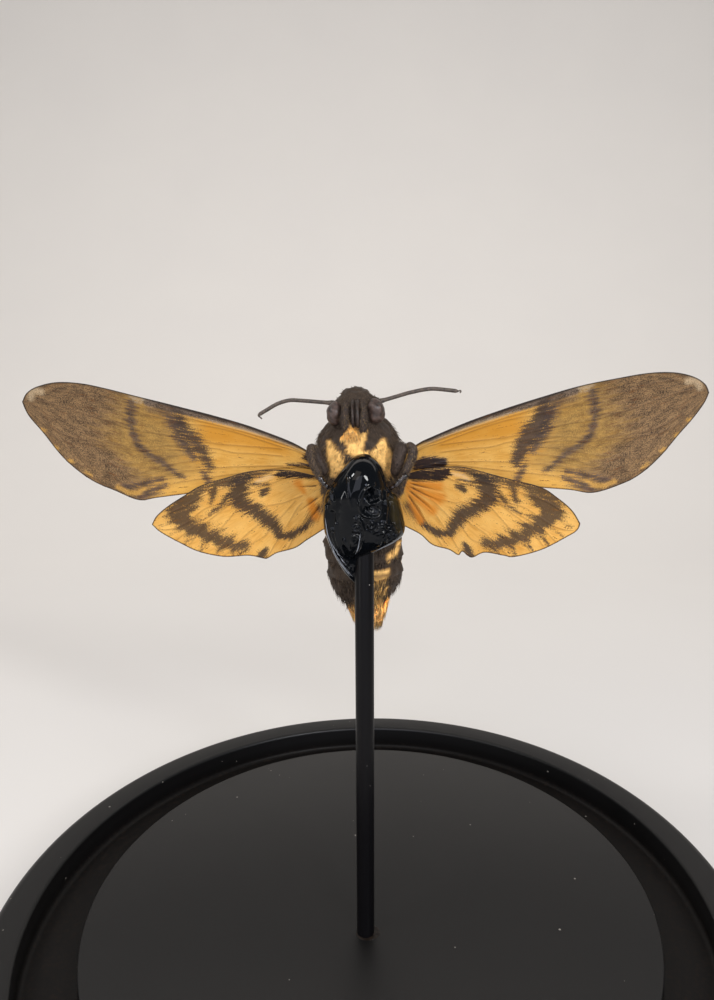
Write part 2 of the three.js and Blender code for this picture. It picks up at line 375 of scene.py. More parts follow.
# Leading and trailing edges as (out, height) in mm, from the root to the tip.
wings = {
    "forewing_left": {
        "side": -1, "kind": "fore", "back": 3.6, "hinge": 7.2,
        "leading": [(4.6, -1.6), (7.2, -0.6), (9, 0.6), (12, 2.3), (18, 4.8), (24, 6.8),
                    (30, 8.6), (36, 10.3), (42, 12), (46, 12.9), (50, 13.2), (53.4, 12.6),
                    (55.3, 11.6), (56.25, 10.2)],
        "trailing": [(4.6, -3.8), (7.2, -4.2), (9, -4.4), (12, -4.7), (18, -5.3), (24, -5.7),
                     (30, -6.3), (35, -6.8), (38.2, -7.1), (42, -5.4), (46, -3.4), (50, 0.1),
                     (53.4, 4.9), (55.5, 7.9), (56.25, 10.2)],
    },
    "forewing_right": {
        "side": 1, "kind": "fore", "back": 3.6, "hinge": 7.4,
        "leading": [(4.6, -1.8), (7.4, -0.4), (9.7, 1.1), (12, 2.1), (18, 4.4), (24, 6.3),
                    (30, 8), (36, 9.5), (42, 10.5), (47, 11.1), (51, 11), (54, 10.2),
                    (55.8, 9), (56.5, 7.6)],
        "trailing": [(4.6, -3.9), (7.4, -4.4), (12, -4.9), (18, -5.7), (24, -6.4), (30, -7.1),
                     (34.5, -7.6), (38.3, -8.2), (42.6, -7), (45.8, -5.4), (49, -2.6), (52, 1),
                     (54.1, 3.5), (55.8, 5.9), (56.5, 7.6)],
    },
    "hindwing_left": {
        "side": -1, "kind": "hind", "back": 2.7, "hinge": 7.2,
        "leading": [(3.6, -4.2), (7.2, -3.7), (12, -2.6), (18, -2.5), (22.9, -3.6),
                    (27.1, -4.8), (30, -6.4), (32.9, -8.1), (35.1, -9.8), (36.1, -11.3)],
        "trailing": [(3.6, -10.2), (5.6, -12.2), (7.2, -13.2), (9.7, -14.7), (11.8, -16),
                     (14.9, -16.8), (16.4, -17.6), (17.2, -17.7), (19.8, -17.1), (24.1, -17.2),
                     (28.5, -16.2), (31.8, -14.5), (34.7, -12.7), (36.1, -11.3)],
    },
    "hindwing_right": {
        "side": 1, "kind": "hind", "back": 2.7, "hinge": 7.4,
        "leading": [(3.6, -4.2), (7.4, -3.8), (11.4, -3), (16.4, -2.9), (20.4, -4),
                    (24.3, -5.2), (29.5, -6.8), (32.3, -8.7), (34.7, -10.9), (36.1, -13.2)],
        "trailing": [(3.6, -10.2), (5.6, -12.0), (7.4, -13.0), (9.6, -14.3), (11.5, -16.1),
                     (14.2, -17), (15.8, -18), (16.5, -17.4), (18, -18.5), (20.2, -17.7),
                     (23.3, -18.3), (25.3, -18.6), (29.9, -17.5), (33.9, -15.5),
                     (35.6, -14.4), (36.1, -13.2)],
    },
}

# Markings are drawn as (span, chord) from the hinge (0) to the tip (1) and from the trailing
# edge (0) to the leading edge (1), so that a left and a right wing share them. Lines carry a
# width in mm as a third number.
foreMarks = {
    "band": [
        [(0.465, 0.86, 2.6), (0.45, 0.72, 3.2), (0.42, 0.61, 3.3), (0.4, 0.51, 2.9),
         (0.385, 0.41, 2.4), (0.375, 0.3, 2.0)],
    ],
    "softBand": [
        [(0.49, 0.86, 2.6), (0.48, 0.72, 2.4), (0.46, 0.58, 2.0), (0.43, 0.42, 1.4)],
        [(0.4, 0.24, 1.0), (0.385, 0.14, 1.4), (0.37, 0.04, 1.3)],
        [(0.62, 0.93, 1.9), (0.632, 0.8, 1.8), (0.632, 0.66, 1.5), (0.62, 0.54, 1.4),
         (0.585, 0.44, 1.2), (0.55, 0.38, 1.1), (0.52, 0.31, 1.1), (0.49, 0.23, 1.0),
         (0.465, 0.18, 0.9)],
        [(0.53, 0.11, 0.8), (0.57, 0.08, 1.3), (0.6, 0.06, 1.3), (0.63, 0.01, 0.7)],
        [(0.54, 0.18, 0.7), (0.58, 0.17, 1.0), (0.63, 0.15, 1.1), (0.68, 0.08, 0.7)],
    ],
    "smoke": [
        [(0.66, 0.97, 2.0), (0.72, 0.96, 2.3), (0.79, 0.93, 2.2), (0.86, 0.88, 1.6),
         (0.9, 0.81, 1.0)],
        [(0.74, 0.85, 2.4), (0.8, 0.7, 2.8), (0.87, 0.66, 2.2)],
        [(0.5, 0.9, 1.8), (0.56, 0.9, 1.6)],
    ],
    "pale": [
        [(0.575, 0.985, 0.9), (0.595, 0.97, 1.7), (0.62, 0.985, 0.9)],
        [(0.04, 0.87, 0.3), (0.14, 0.91, 0.7), (0.28, 0.915, 0.7), (0.38, 0.92, 0.4)],
        [(0.93, 0.88, 1.5), (0.96, 0.93, 1.9), (0.97, 0.76, 1.4)],
    ],
    "ochre": [
        [(0.935, 0.1, 0.9), (0.945, 0.04, 0.9)],
        [(0.9, 0.03, 1.0), (0.91, 0.0, 0.8)],
        [(0.85, 0.06, 0.8), (0.86, 0.04, 1.1)],
        [(0.79, 0.05, 0.8), (0.81, 0.05, 0.7)],
        [(0.68, 0.05, 1.2), (0.7, 0.05, 1.2)],
        [(0.61, 0.1, 1.0), (0.63, 0.07, 1.2), (0.67, 0.04, 1.2)],
        [(0.4, 0.06, 1.0), (0.47, 0.07, 1.2), (0.53, 0.04, 0.9)],
    ],
    "veins": [
        [(0.0, 0.82), (0.08, 0.86), (0.15, 0.87), (0.27, 0.87), (0.39, 0.88), (0.52, 0.89),
         (0.62, 0.93)],
        [(0.0, 0.7), (0.06, 0.8), (0.12, 0.79), (0.22, 0.82), (0.33, 0.84), (0.46, 0.82),
         (0.6, 0.84), (0.75, 0.86), (0.9, 0.9)],
        [(0.12, 0.74), (0.22, 0.66), (0.33, 0.62), (0.45, 0.64), (0.6, 0.66), (0.75, 0.68),
         (0.95, 0.7)],
        [(0.12, 0.58), (0.22, 0.54), (0.29, 0.52), (0.35, 0.55), (0.47, 0.55), (0.6, 0.5),
         (0.75, 0.44), (0.92, 0.28)],
        [(0.35, 0.5), (0.47, 0.44), (0.6, 0.36), (0.72, 0.26), (0.87, 0.0)],
        [(0.12, 0.36), (0.26, 0.32), (0.35, 0.29), (0.47, 0.25), (0.6, 0.18), (0.75, 0.0)],
        [(0.35, 0.4), (0.5, 0.34), (0.65, 0.22), (0.81, 0.0)],
        [(0.1, 0.34), (0.26, 0.22), (0.4, 0.16), (0.52, 0.12), (0.61, 0.0)],
        [(0.47, 0.5), (0.65, 0.46), (0.8, 0.36), (0.94, 0.1)],
    ],
}
hindMarks = {
    "band": [
        [(0.4, 0.93, 1.4), (0.44, 0.9, 2.6), (0.46, 0.82, 3.2), (0.475, 0.72, 3.2),
         (0.45, 0.63, 3.0), (0.39, 0.55, 2.6), (0.33, 0.46, 2.6), (0.29, 0.38, 2.5),
         (0.265, 0.29, 2.1), (0.25, 0.2, 1.5)],
        [(0.25, 0.19, 1.2), (0.19, 0.175, 1.3), (0.13, 0.2, 1.2), (0.09, 0.2, 0.8)],
        [(0.29, 0.785, 0.7), (0.32, 0.75, 1.4), (0.335, 0.73, 1.0)],
        [(0.29, 0.835, 0.3), (0.36, 0.845, 0.6), (0.42, 0.85, 0.9)],
        [(0.33, 0.1, 0.8), (0.35, 0.05, 1.5), (0.37, 0.0, 1.2)],
    ],
    "softBand": [
        [(0.72, 0.88, 2.4), (0.78, 0.81, 4.2), (0.825, 0.66, 5.2), (0.8, 0.48, 5.0),
         (0.735, 0.38, 4.6), (0.67, 0.3, 4.2), (0.59, 0.21, 3.9), (0.51, 0.145, 3.4),
         (0.46, 0.125, 2.2)],
        [(0.27, 0.98, 0.5), (0.34, 0.96, 1.2), (0.42, 0.95, 1.9), (0.5, 0.94, 2.0),
         (0.58, 0.95, 1.4), (0.66, 0.95, 1.2), (0.73, 0.94, 1.8), (0.8, 0.93, 1.8)],
        [(0.59, 0.96, 1.2), (0.615, 0.88, 1.5), (0.625, 0.78, 1.1), (0.64, 0.72, 0.8)],
        [(0.53, 0.78, 0.9), (0.56, 0.71, 1.1), (0.58, 0.66, 0.7)],
        [(0.51, 0.68, 0.6), (0.58, 0.66, 0.6), (0.66, 0.56, 0.7)],
        [(0.1, 0.2, 1.0), (0.05, 0.28, 1.5), (0.01, 0.4, 1.8)],
        # dark veins between the pale windows of the margin
        [(0.88, 0.48, 0.5), (0.95, 0.3, 0.4)],
        [(0.84, 0.33, 0.6), (0.9, 0.12, 0.4)],
        [(0.78, 0.24, 0.6), (0.82, 0.03, 0.4)],
        [(0.7, 0.16, 0.6), (0.73, 0.0, 0.4)],
        [(0.61, 0.1, 0.6), (0.63, 0.0, 0.4)],
        [(0.52, 0.08, 0.6), (0.535, 0.0, 0.4)],
    ],
    "teeth": [
        [(0.755, 0.6, 1.1), (0.66, 0.63, 0.3)],
        [(0.72, 0.455, 1.2), (0.62, 0.52, 0.3)],
        [(0.655, 0.36, 1.2), (0.56, 0.43, 0.3)],
        [(0.58, 0.27, 1.1), (0.49, 0.35, 0.3)],
        [(0.505, 0.2, 1.0), (0.44, 0.27, 0.3)],
        [(0.865, 0.4, 0.9), (0.93, 0.2, 1.2)],
        [(0.815, 0.3, 0.9), (0.86, 0.06, 1.3)],
        [(0.74, 0.21, 0.9), (0.77, 0.02, 1.3)],
        [(0.65, 0.14, 0.9), (0.68, 0.0, 1.2)],
        [(0.56, 0.08, 0.8), (0.575, 0.0, 1.1)],
    ],
    "pale": [
        [(0.26, 0.92, 0.9), (0.33, 0.89, 1.1), (0.36, 0.87, 0.7)],
    ],
    "veins": [
        [(0.16, 0.93), (0.25, 0.85), (0.43, 0.76), (0.54, 0.66), (0.68, 0.51), (0.79, 0.32),
         (0.87, 0.0)],
        [(0.1, 0.66), (0.25, 0.58), (0.45, 0.6), (0.54, 0.47), (0.66, 0.21), (0.72, 0.0)],
        [(0.14, 0.6), (0.22, 0.44), (0.31, 0.29), (0.4, 0.16), (0.49, 0.01)],
        [(0.25, 0.52), (0.33, 0.43), (0.42, 0.29), (0.54, 0.08), (0.59, 0.0)],
        [(0.48, 0.68), (0.56, 0.62), (0.7, 0.4), (0.79, 0.05)],
        [(0.58, 0.7), (0.7, 0.63), (0.84, 0.38), (0.96, 0.15)],
        [(0.1, 0.56), (0.14, 0.48), (0.21, 0.27), (0.3, 0.06), (0.34, 0.0)],
        [(0.06, 0.42), (0.1, 0.28), (0.16, 0.14), (0.2, 0.02)],
        [(0.4, 0.88), (0.6, 0.87), (0.8, 0.8), (0.93, 0.75)],
    ],
}

# What only one wing shows, in mm (out, height): outlines of bare plates at the root, lines of
# the deep amber fan with a width, its folds, and how strong the dark band is.
ownMarks = {
    "forewing_left": {"bandGain": 0.78, "plates": [
        [(7.0, 0.6), (9.0, 0.2), (9.9, -0.9), (9.0, -1.5), (7.0, -1.6)],
        [(7.2, -1.8), (12.4, -1.8), (12.8, -2.2), (7.2, -2.6)]]},
    "forewing_right": {"plates": [
        [(8.8, -1.9), (10.4, -1.2), (14.2, -1.6), (14.4, -2.5), (14.1, -3.5), (8.6, -3.5)]]},
    "hindwing_left": {
        "plates": [[(7.0, -2.9), (13.9, -2.8), (14.6, -3.3), (13.8, -3.8), (7.0, -4.2)]],
        "fan": [[(10.6, -4.9, 1.6), (9.6, -6.6, 0.6)], [(8.7, -8.0, 1.3), (8.0, -10.6, 1.6)]],
        "folds": [[(7.0, -5.4), (11.0, -5.6)], [(7.0, -7.2), (11.0, -10.0)],
                  [(6.9, -8.6), (9.6, -12.0)]],
    },
    "hindwing_right": {
        "plates": [[(7.6, -3.2), (14.7, -3.0), (14.8, -4.3), (13.2, -5.3), (11.0, -5.1),
                    (7.6, -4.9)]],
        "fan": [[(7.6, -5.4, 0.8), (12.6, -6.2, 2.0)], [(7.6, -6.2, 1.0), (12.8, -8.2, 2.2)],
                [(7.6, -6.8, 0.8), (11.6, -10.2, 1.9)], [(7.6, -7.6, 0.6), (9.6, -11.8, 1.4)]],
        "folds": [[(7.6, -5.0), (13.2, -5.6)], [(7.6, -5.4), (13.6, -7.2)],
                  [(7.5, -5.8), (13.4, -9.2)], [(7.4, -6.3), (12.4, -11.0)],
                  [(7.4, -7.0), (10.6, -12.6)]],
    },
}

# Where the smoky outer part of the forewing starts, as (chord, span).
smokeStart = [(0, 0.55), (0.1, 0.57), (0.18, 0.59), (0.25, 0.61), (0.33, 0.66), (0.4, 0.7),
              (0.57, 0.7), (0.76, 0.66), (0.98, 0.64), (1, 0.62)]


class WingShape:
    # turns (span, chord) fractions into mm for one wing
    def __init__(self, wing):
        self.lead = smoothLine(wing["leading"])
        self.trail = smoothLine(wing["trailing"])
        self.hinge, self.tip = wing["hinge"], self.lead[-1, 0]

    def at(self, span, chord):
        out = self.hinge + (self.tip - self.hinge) * span
        top = np.interp(out, self.lead[:, 0], self.lead[:, 1])
        low = np.interp(out, self.trail[:, 0], self.trail[:, 1])
        return np.stack([out, low + (top - low) * chord], axis=-1)

    def draw(self, line):
        # a marking in mm, its width kept
        smooth = smoothLine(line, 6)
        flat = self.at(smooth[:, 0], smooth[:, 1])
        return np.hstack([flat, smooth[:, 2:]])


def rampField(points, lines, softness):
    # 1 well inside the lines, 0.5 on their edges, 0 beyond the softness, in mm
    field = np.zeros(len(points))
    for line in lines:
        far, width = lineDistance(points, line)
        soft = softness * np.clip(width / 2.5, 0.5, 1)  # lines under 2.5 mm stay crisper
        field = np.maximum(field, np.clip(0.5 - (far - width / 2) / (2 * soft), 0, 1))
    return field


def plateField(points, corners, softness):
    # as rampField, for the inside of a convex outline
    corners = np.array(corners)
    turn = np.cross(corners[1] - corners[0], corners[2] - corners[1])
    depth = np.full(len(points), 1e9)
    for a, b in zip(corners, np.roll(corners, -1, axis=0)):
        inward = np.array([a[1] - b[1], b[0] - a[0]]) * np.sign(turn)
        depth = np.minimum(depth, (points - a) @ inward / np.linalg.norm(inward))
    return np.clip(0.5 + depth / (2 * softness), 0, 1)


def lineField(shape, points, lines, halfWidth):
    # a thin line that fades over its half width
    field = np.zeros(len(points))
    for line in lines:
        far, _ = lineDistance(points, shape.draw([(a, b, 0) for a, b in line]))
        field = np.maximum(field, np.exp(-(far / halfWidth) ** 2))
    return field


def wingFields(name, wing, shape, span, chord, flat):
    # how strongly each marking covers each point, from 0 to 1
    own, soft = ownMarks[name], wingCommon["soft"]
    marks = foreMarks if wing["kind"] == "fore" else hindMarks

    def mark(key):
        return rampField(flat, [shape.draw(line) for line in marks[key]], soft[key])

    fields = {
        "band": own.get("bandGain", 1) * mark("band"), "softBand": mark("softBand"),
        "pale": mark("pale"),
        "bare": np.max([plateField(flat, plate, soft["plate"]) for plate in own["plates"]], axis=0),
        "fan": rampField(flat, own.get("fan", []), soft["fan"]), "amber": np.zeros(len(flat)),
        "vein": lineField(shape, flat, marks["veins"], wingCommon["veinWidth"]),
        **{key: np.zeros(len(flat)) for key in ("edge", "smoke", "ochre", "khaki", "costa",
                                                "fold")},
    }
    edgeFar, _ = lineDistance(flat, np.vstack([shape.trail, shape.lead[::-1]]))
    fields["edge"] = np.exp(-(edgeFar / wingCommon["edgeWidth"]) ** 2)
    if wing["kind"] == "fore":
        starts = np.interp(chord, *np.array(smokeStart).T)
        outer = 0.5 + (span - starts) * 5.0  # full within a tenth of the span
        fields["smoke"] = np.clip(np.maximum(outer, 0.9 * mark("smoke")), 0, 1)
        fields["ochre"] = mark("ochre")
        khaki = 0.5 + (span - 0.43 - 0.05 * (chord - 0.5)) * 5.0
        fields["khaki"] = np.clip(khaki, 0, 1) * smoothStep(0.02, 0.3, chord)
        # the leading edge: a dark rim, then a speckled strip that ends at three fifths
        leadFar, _ = lineDistance(flat, shape.lead)
        broad = 0.8 + 0.5 * smoothStep(0.1, 0.5, span)
        rim = np.exp(-(leadFar / wingCommon["rimWidth"]) ** 2)
        rim = rim * (1 - 0.7 * smoothStep(0.4, 0.65, span))
        fields["edge"] = np.maximum(fields["edge"], rim)
        strip = np.clip(0.5 - (leadFar - broad) / 0.8, 0, 1)
        fields["costa"] = strip * smoothStep(0.0, 0.12, span) * (1 - smoothStep(0.56, 0.6, span))
        wedge = smoothStep(0.05, 0.14, span) * (1 - smoothStep(0.36, 0.46, span))
        fields["amber"] = 0.75 * wedge * smoothStep(0.45, 0.75, chord) * (1 - fields["costa"])
    else:
        fields["softBand"] -= 0.55 * mark("teeth")
        for (a, b), end in own["folds"]:
            # a pleat deepens and dies out on its way from the hinge
            far, along = lineDistance(flat, [(a, b, 0), (*end, 1)])
            depth = 1.2 * smoothStep(0, 0.2, along) * (1 - 0.8 * along)
            crest = np.exp(-(far / wingCommon["foldWidth"]) ** 2)
            fields["fold"] = np.maximum(fields["fold"], depth * crest)
    return fields


def wingDepth(wing, span, chord, flat, top, low, fields):
    # the sheet is cambered, sags a little between its veins and pleats at the root
    camber = 4 * chord * (1 - chord) * (top - low) * wingCommon["camber"]
    relief = -wingCommon["veinSink"] * fields["vein"] + wingCommon["foldRise"] * fields["fold"]
    relief = relief - wingCommon["plateSink"] * smoothStep(0.2, 0.9, fields["bare"])
    depth = wing["back"] + camber + relief
    if wing["kind"] == "fore":
        roll = np.exp(-((top - flat[:, 1]) / 0.7) ** 2) * (1 - smoothStep(0.5, 0.8, span))
        depth = depth - wingCommon["costaRoll"] * roll
        return depth + 0.5 * smoothStep(0.6, 1.0, span) ** 2  # the tip curls away a little
    return depth - 0.25 + 0.5 * smoothStep(0.5, 1.0, span)


def buildWing(name, wing, materials):
    shape = WingShape(wing)
    bm = bmesh.new()
    bmesh.ops.create_grid(bm, x_segments=wingCommon["columns"], y_segments=wingCommon["rows"],
                          size=0.5)
    grid = np.array([v.co[:2] for v in bm.verts]) + 0.5
    start = (shape.lead[0, 0] - shape.hinge) / (shape.tip - shape.hinge)
    span = 1 - (1 - start) * (1 - grid[:, 0]) ** wingCommon["tipCrowding"]
    chord = grid[:, 1]
    flat = shape.at(span, chord)
    top, low = shape.at(span, 1.0)[:, 1], shape.at(span, 0.0)[:, 1]
    fields = wingFields(name, wing, shape, span, chord, flat)
    depth = wingDepth(wing, span, chord, flat, top, low, fields)
    for v, (out, height), y in zip(bm.verts, flat, depth):
        wave = noise.noise(Vector((out * 0.12, height * 0.25, wing["side"] * 7.0)))
        v.co = (out * wing["side"], y + wingCommon["wave"] * wave, height)
    paintLayers(bm, fields)
    uvLayer = bm.loops.layers.uv.new("wingMap")
    if wing["kind"] == "fore":
        mapped = np.stack([flat[:, 0], chord * wingCommon["mapWidth"]], axis=1)
    else:
        # along and around the fan of veins
        ray = flat - np.array(wingCommon["fanCentre"])
        around = np.arctan2(ray[:, 1], ray[:, 0]) * wingCommon["mapRadius"]
        mapped = np.stack([np.hypot(*ray.T), around], axis=1)
    for face in bm.faces:
        for loop in face.loops:
            loop[uvLayer].uv = mapped[loop.vert.index]
    # the last column closes on one point at the tip
    bmesh.ops.remove_doubles(bm, verts=bm.verts, dist=0.004)
    bmesh.ops.recalc_face_normals(bm, faces=bm.faces)
    if sum(f.normal.y for f in bm.faces) > 0:
        bmesh.ops.reverse_faces(bm, faces=bm.faces)
    piece = placePiece(name + "_scaled", bm, materials, "wing_membrane", name)
    solid = piece.modifiers.new("thickness", "SOLIDIFY")
    solid.thickness = wingCommon["thickness"] * mm
    solid.offset = -1
    solid.material_offset = 1
    solid.material_offset_rim = 0


# How the markings lie over each other, from the ground up: the drawn field, how far the streaks
# and the grain fray it, where it starts and is full, its strength, its colour and fleck colour.
wingLayers = [
    ("amber", 0.2, 0.0, 0.1, 1.0, 0.9, "amber", None),
    ("khaki", 0.25, 0.3, 0.15, 0.95, 0.85, "khakiDark", "khaki"),
    ("costa", 0.0, 0.3, 0.3, 0.7, 0.95, "costaDark", "costaPale"),
    ("smoke", 0.2, 0.18, 0.28, 0.85, 0.96, "smokeDark", "smokePale"),
    ("ochre", 0.1, 0.3, 0.5, 1.0, 0.6, "ochre", None),
    ("softBand", 0.34, 0.34, 0.3, 0.8, 0.9, "dark", "softFleck"),
    ("band", 0.3, 0.26, 0.32, 0.68, 0.93, "dark", "darkFleck"),
    ("pale", 0.2, 0.4, 0.45, 1.1, 0.38, "pale", None),
    ("vein", 0.0, 0.2, 0.3, 1.2, 0.48, "vein", None),
    ("edge", 0.0, 0.15, 0.25, 0.8, 0.92, "dark", None),
    ("fan", 0.4, 0.0, 0.2, 0.9, 0.85, "fanDeep", None),
    ("fold", 0.0, 0.25, 0.3, 0.9, 0.9, "bareDark", None),
    ("bare", 0.5, 0.3, 0.34, 0.6, 1.0, "bareDark", "bareRed"),
]

# The size of each texture along and across the wing, in mm. Single scales are 0.1 mm; their
# tufts are drawn 0.2 mm so that they show.
wingTextures = {"streak": (3.6, 0.34), "grain": (0.24, 0.17), "cloud": (2.0, 1.1),
                "broad": (6.0, 4.0)}


def wingFinish(name, colours):
    # dried moth wing: membrane under overlapping powdery scales, so it is matt and streaked
    # along the span; at the root the bare, folded membrane is dark and glossy
    material, tree = newMaterial(name, {
        "IOR": 1.5, "Specular IOR Level": 0.22, "Sheen Weight": 0.08, "Sheen Roughness": 0.5})
    wingMap = addNode(tree, "UVMap", output="UV", uv_map="wingMap")
    texture = {}
    for key, (along, across) in wingTextures.items():
        mapped = addNode(tree, "Mapping", {
            "Vector": wingMap, "Scale": (1 / along, 1 / across, 1)}, "Vector")
        texture[key] = addNode(tree, "TexNoise", {
            "Vector": mapped, "Scale": 1, "Detail": 3, "Roughness": 0.68}, 0)
    shade = addNode(tree, "MapRange", {
        "Value": texture["streak"], "From Min": 0.32, "From Max": 0.7}, "Result")
    patchy = addNode(tree, "MapRange", {
        "Value": texture["broad"], "From Min": 0.35, "From Max": 0.7, "To Max": 0.6}, "Result")
    speckle = addNode(tree, "Math", {0: texture["cloud"], 1: 0.5, 2: texture["grain"]}, 0,
                      operation="MULTIPLY_ADD")
    speckle = addNode(tree, "MapRange", {
        "Value": speckle, "From Min": 0.62, "From Max": 0.9}, "Result")
    ground = addNode(tree, "Mix", {0: shade, 6: colours["ochreDeep"], 7: colours["ochre"]}, 2,
                     data_type="RGBA")
    ground = addNode(tree, "Mix", {0: patchy, 6: ground, 7: colours["ochrePale"]}, 2,
                     data_type="RGBA")
    for field, streaks, grains, start, full, strength, colour, fleck in wingLayers:
        drawn = cover = addNode(tree, "Attribute", output="Fac", attribute_name=field)
        for key, amount in (("streak", streaks), ("grain", grains)):
            if amount:
                fray = addNode(tree, "MapRange", {
                    "Value": texture[key], "From Min": 0.3, "From Max": 0.7, "To Min": -amount,
                    "To Max": amount}, "Result")
                cover = addNode(tree, "Math", {0: cover, 1: fray}, 0, operation="ADD")
        cover = addNode(tree, "MapRange", {
            "Value": cover, "From Min": start, "From Max": full, "To Max": strength}, "Result")
        paint = colours[colour]
        if fleck:
            paint = addNode(tree, "Mix", {0: speckle, 6: paint, 7: colours[fleck]}, 2,
                            data_type="RGBA")
        ground = addNode(tree, "Mix", {0: cover, 6: ground, 7: paint}, 2, data_type="RGBA")
    # the last layer drawn is the bare membrane, the only glossy one
    rough = addNode(tree, "MapRange", {"Value": drawn, "To Min": 0.62, "To Max": 0.3}, "Result")
    tufts = addNode(tree, "Math", {0: texture["grain"], 1: 0.6, 2: texture["streak"]}, 0,
                    operation="MULTIPLY_ADD")
    bump = addNode(tree, "Bump", {"Height": tufts, "Strength": 0.5, "Distance": 0.06 * mm},
                   "Normal")
    return linkShader(material, {"Base Color": ground, "Roughness": rough, "Normal": bump})


foreUnderColours = {
    "ochre": "#cc9a44", "ochreDeep": "#b07b2b", "ochrePale": "#d2a759", "amber": "#b47505",
    "khakiDark": "#4b361e", "khaki": "#a07e40", "costaDark": "#1e1916", "costaPale": "#806f61",
    "smokeDark": "#2f2216", "smokePale": "#8b6d4a", "dark": "#1e1612", "darkFleck": "#453730",
    "softFleck": "#5f4c40", "pale": "#dcc5a0", "vein": "#452c18", "fanDeep": "#c47511",
    "bareDark": "#0c0604", "bareRed": "#2f180b",
}
hindUnderColours = dict(foreUnderColours, ochre="#dba54d", ochreDeep="#bd8432",
                        ochrePale="#e0b467", softFleck="#3c2f28", darkFleck="#362a24")
# the upper side of such moths: forewings black-brown and marbled, hindwings yellow and banded
foreUpperColours = dict(
    foreUnderColours, ochre="#4c3a2c", ochreDeep="#2c221c", ochrePale="#6a5238", amber="#3a2c22",
    khakiDark="#2c231e", khaki="#4b3d32", smokeDark="#231c18", smokePale="#5b4e42", dark="#1a1411",
    darkFleck="#4d4034", softFleck="#5d5044", pale="#a9987e", vein="#1b1512")
hindUpperColours = dict(
    foreUnderColours, ochre="#d19a34", ochreDeep="#b87f24", ochrePale="#dcae52", dark="#231a14",
    darkFleck="#3b2c20", softFleck="#453528")

wingSides = {
    "fore": [wingFinish("scaledForewingUnderside", foreUnderColours),
             wingFinish("scaledForewingUpperside", foreUpperColours)],
    "hind": [wingFinish("scaledHindwingUnderside", hindUnderColours),
             wingFinish("scaledHindwingUpperside", hindUpperColours)],
}
for name, wing in wings.items():
    buildWing(name, wing, wingSides[wing["kind"]])
print("wings built")


def furFinish(name, colours):
    # moth hair and hair-like scales: dull, each strand lighter and greyer towards its tip
    material, tree = newMaterial(name, {
        "Roughness": 0.62, "IOR": 1.5, "Specular IOR Level": 0.2, "Sheen Weight": 0.05})
    ochre, shade, reach = (addNode(tree, "Attribute", output="Fac", attribute_name=key)
                           for key in ("ochre", "shade", "reach"))
    place = addNode(tree, "TexCoord", output="Object")
    mottle = addNode(tree, "TexNoise", {  # clumps of 0.8 mm differ in tone
        "Vector": place, "Scale": 1 / (0.8 * mm), "Detail": 3, "Roughness": 0.6}, 0)
    mottle = addNode(tree, "MapRange", {"Value": mottle, "From Min": 0.35, "From Max": 0.68},
                     "Result")
    dark, light = (addNode(tree, "Mix", {0: reach, 6: low, 7: high}, 2, data_type="RGBA")
                   for low, high in (colours["dark"], colours["ochre"]))
    ground = addNode(tree, "Mix", {0: ochre, 6: dark, 7: light}, 2, data_type="RGBA")
    # a shade value above 1 lifts a hair above its own colour: painted light, used on the tail brush
    # and the throat tuft to make up for the shade between their hairs
    deep = addNode(tree, "MapRange", {"Value": shade, "To Min": 0.72, "To Max": 1.2}, "Result",
                   clamp=False)
    wave = addNode(tree, "MapRange", {"Value": mottle, "To Min": 0.74, "To Max": 1.16}, "Result")
    gain = addNode(tree, "Math", {0: deep, 1: wave}, 0, operation="MULTIPLY")
    ground = addNode(tree, "VectorMath", {0: ground, "Scale": gain}, 0, operation="SCALE")
    strands = addNode(tree, "TexNoise", {  # strands of 0.25 mm
        "Vector": place, "Scale": 1 / (0.25 * mm), "Detail": 3}, 0)
    bump = addNode(tree, "Bump", {"Height": strands, "Strength": 0.6, "Distance": 0.15 * mm},
                   "Normal")
    return linkShader(material, {"Base Color": ground, "Normal": bump})


bodyFur = furFinish("driedMothFur", {
    "dark": ("#2a2018", "#6b5948"), "ochre": ("#eca846", "#f3cb84")})
legFur = furFinish("driedLegScales", {
    "dark": ("#221813", "#67584e"), "ochre": ("#8a6a3e", "#c5a777")})


def hairShape():
    # one hair: a three-sided spike with a joint at half its length, closed at its foot
    bm = bmesh.new()
    bmesh.ops.create_cone(bm, cap_ends=True, segments=3, radius1=1, radius2=0, depth=1,
                          matrix=Matrix.Translation((0, 0, 0.5)))
    bmesh.ops.remove_doubles(bm, verts=bm.verts, dist=1e-4)
    everything = bm.verts[:] + bm.edges[:] + bm.faces[:]
    bmesh.ops.bisect_plane(bm, geom=everything, plane_co=(0, 0, 0.5), plane_no=(0, 0, 1))
    bmesh.ops.triangulate(bm, faces=bm.faces)
    bm.verts.index_update()
    points = np.array([v.co for v in bm.verts])
    faces = np.array([[v.index for v in f.verts] for f in bm.faces])
    bm.free()
    order = np.lexsort(points.round(4).T)
    points, faces = points[order], np.argsort(order)[faces]
    points[:, :2] *= 1 + 1.8 * points[:, 2:] * (1 - points[:, 2:])  # fuller than a cone
    return points, faces


def unit(vectors):
    return vectors / np.maximum(np.linalg.norm(vectors, axis=-1, keepdims=True), 1e-9)


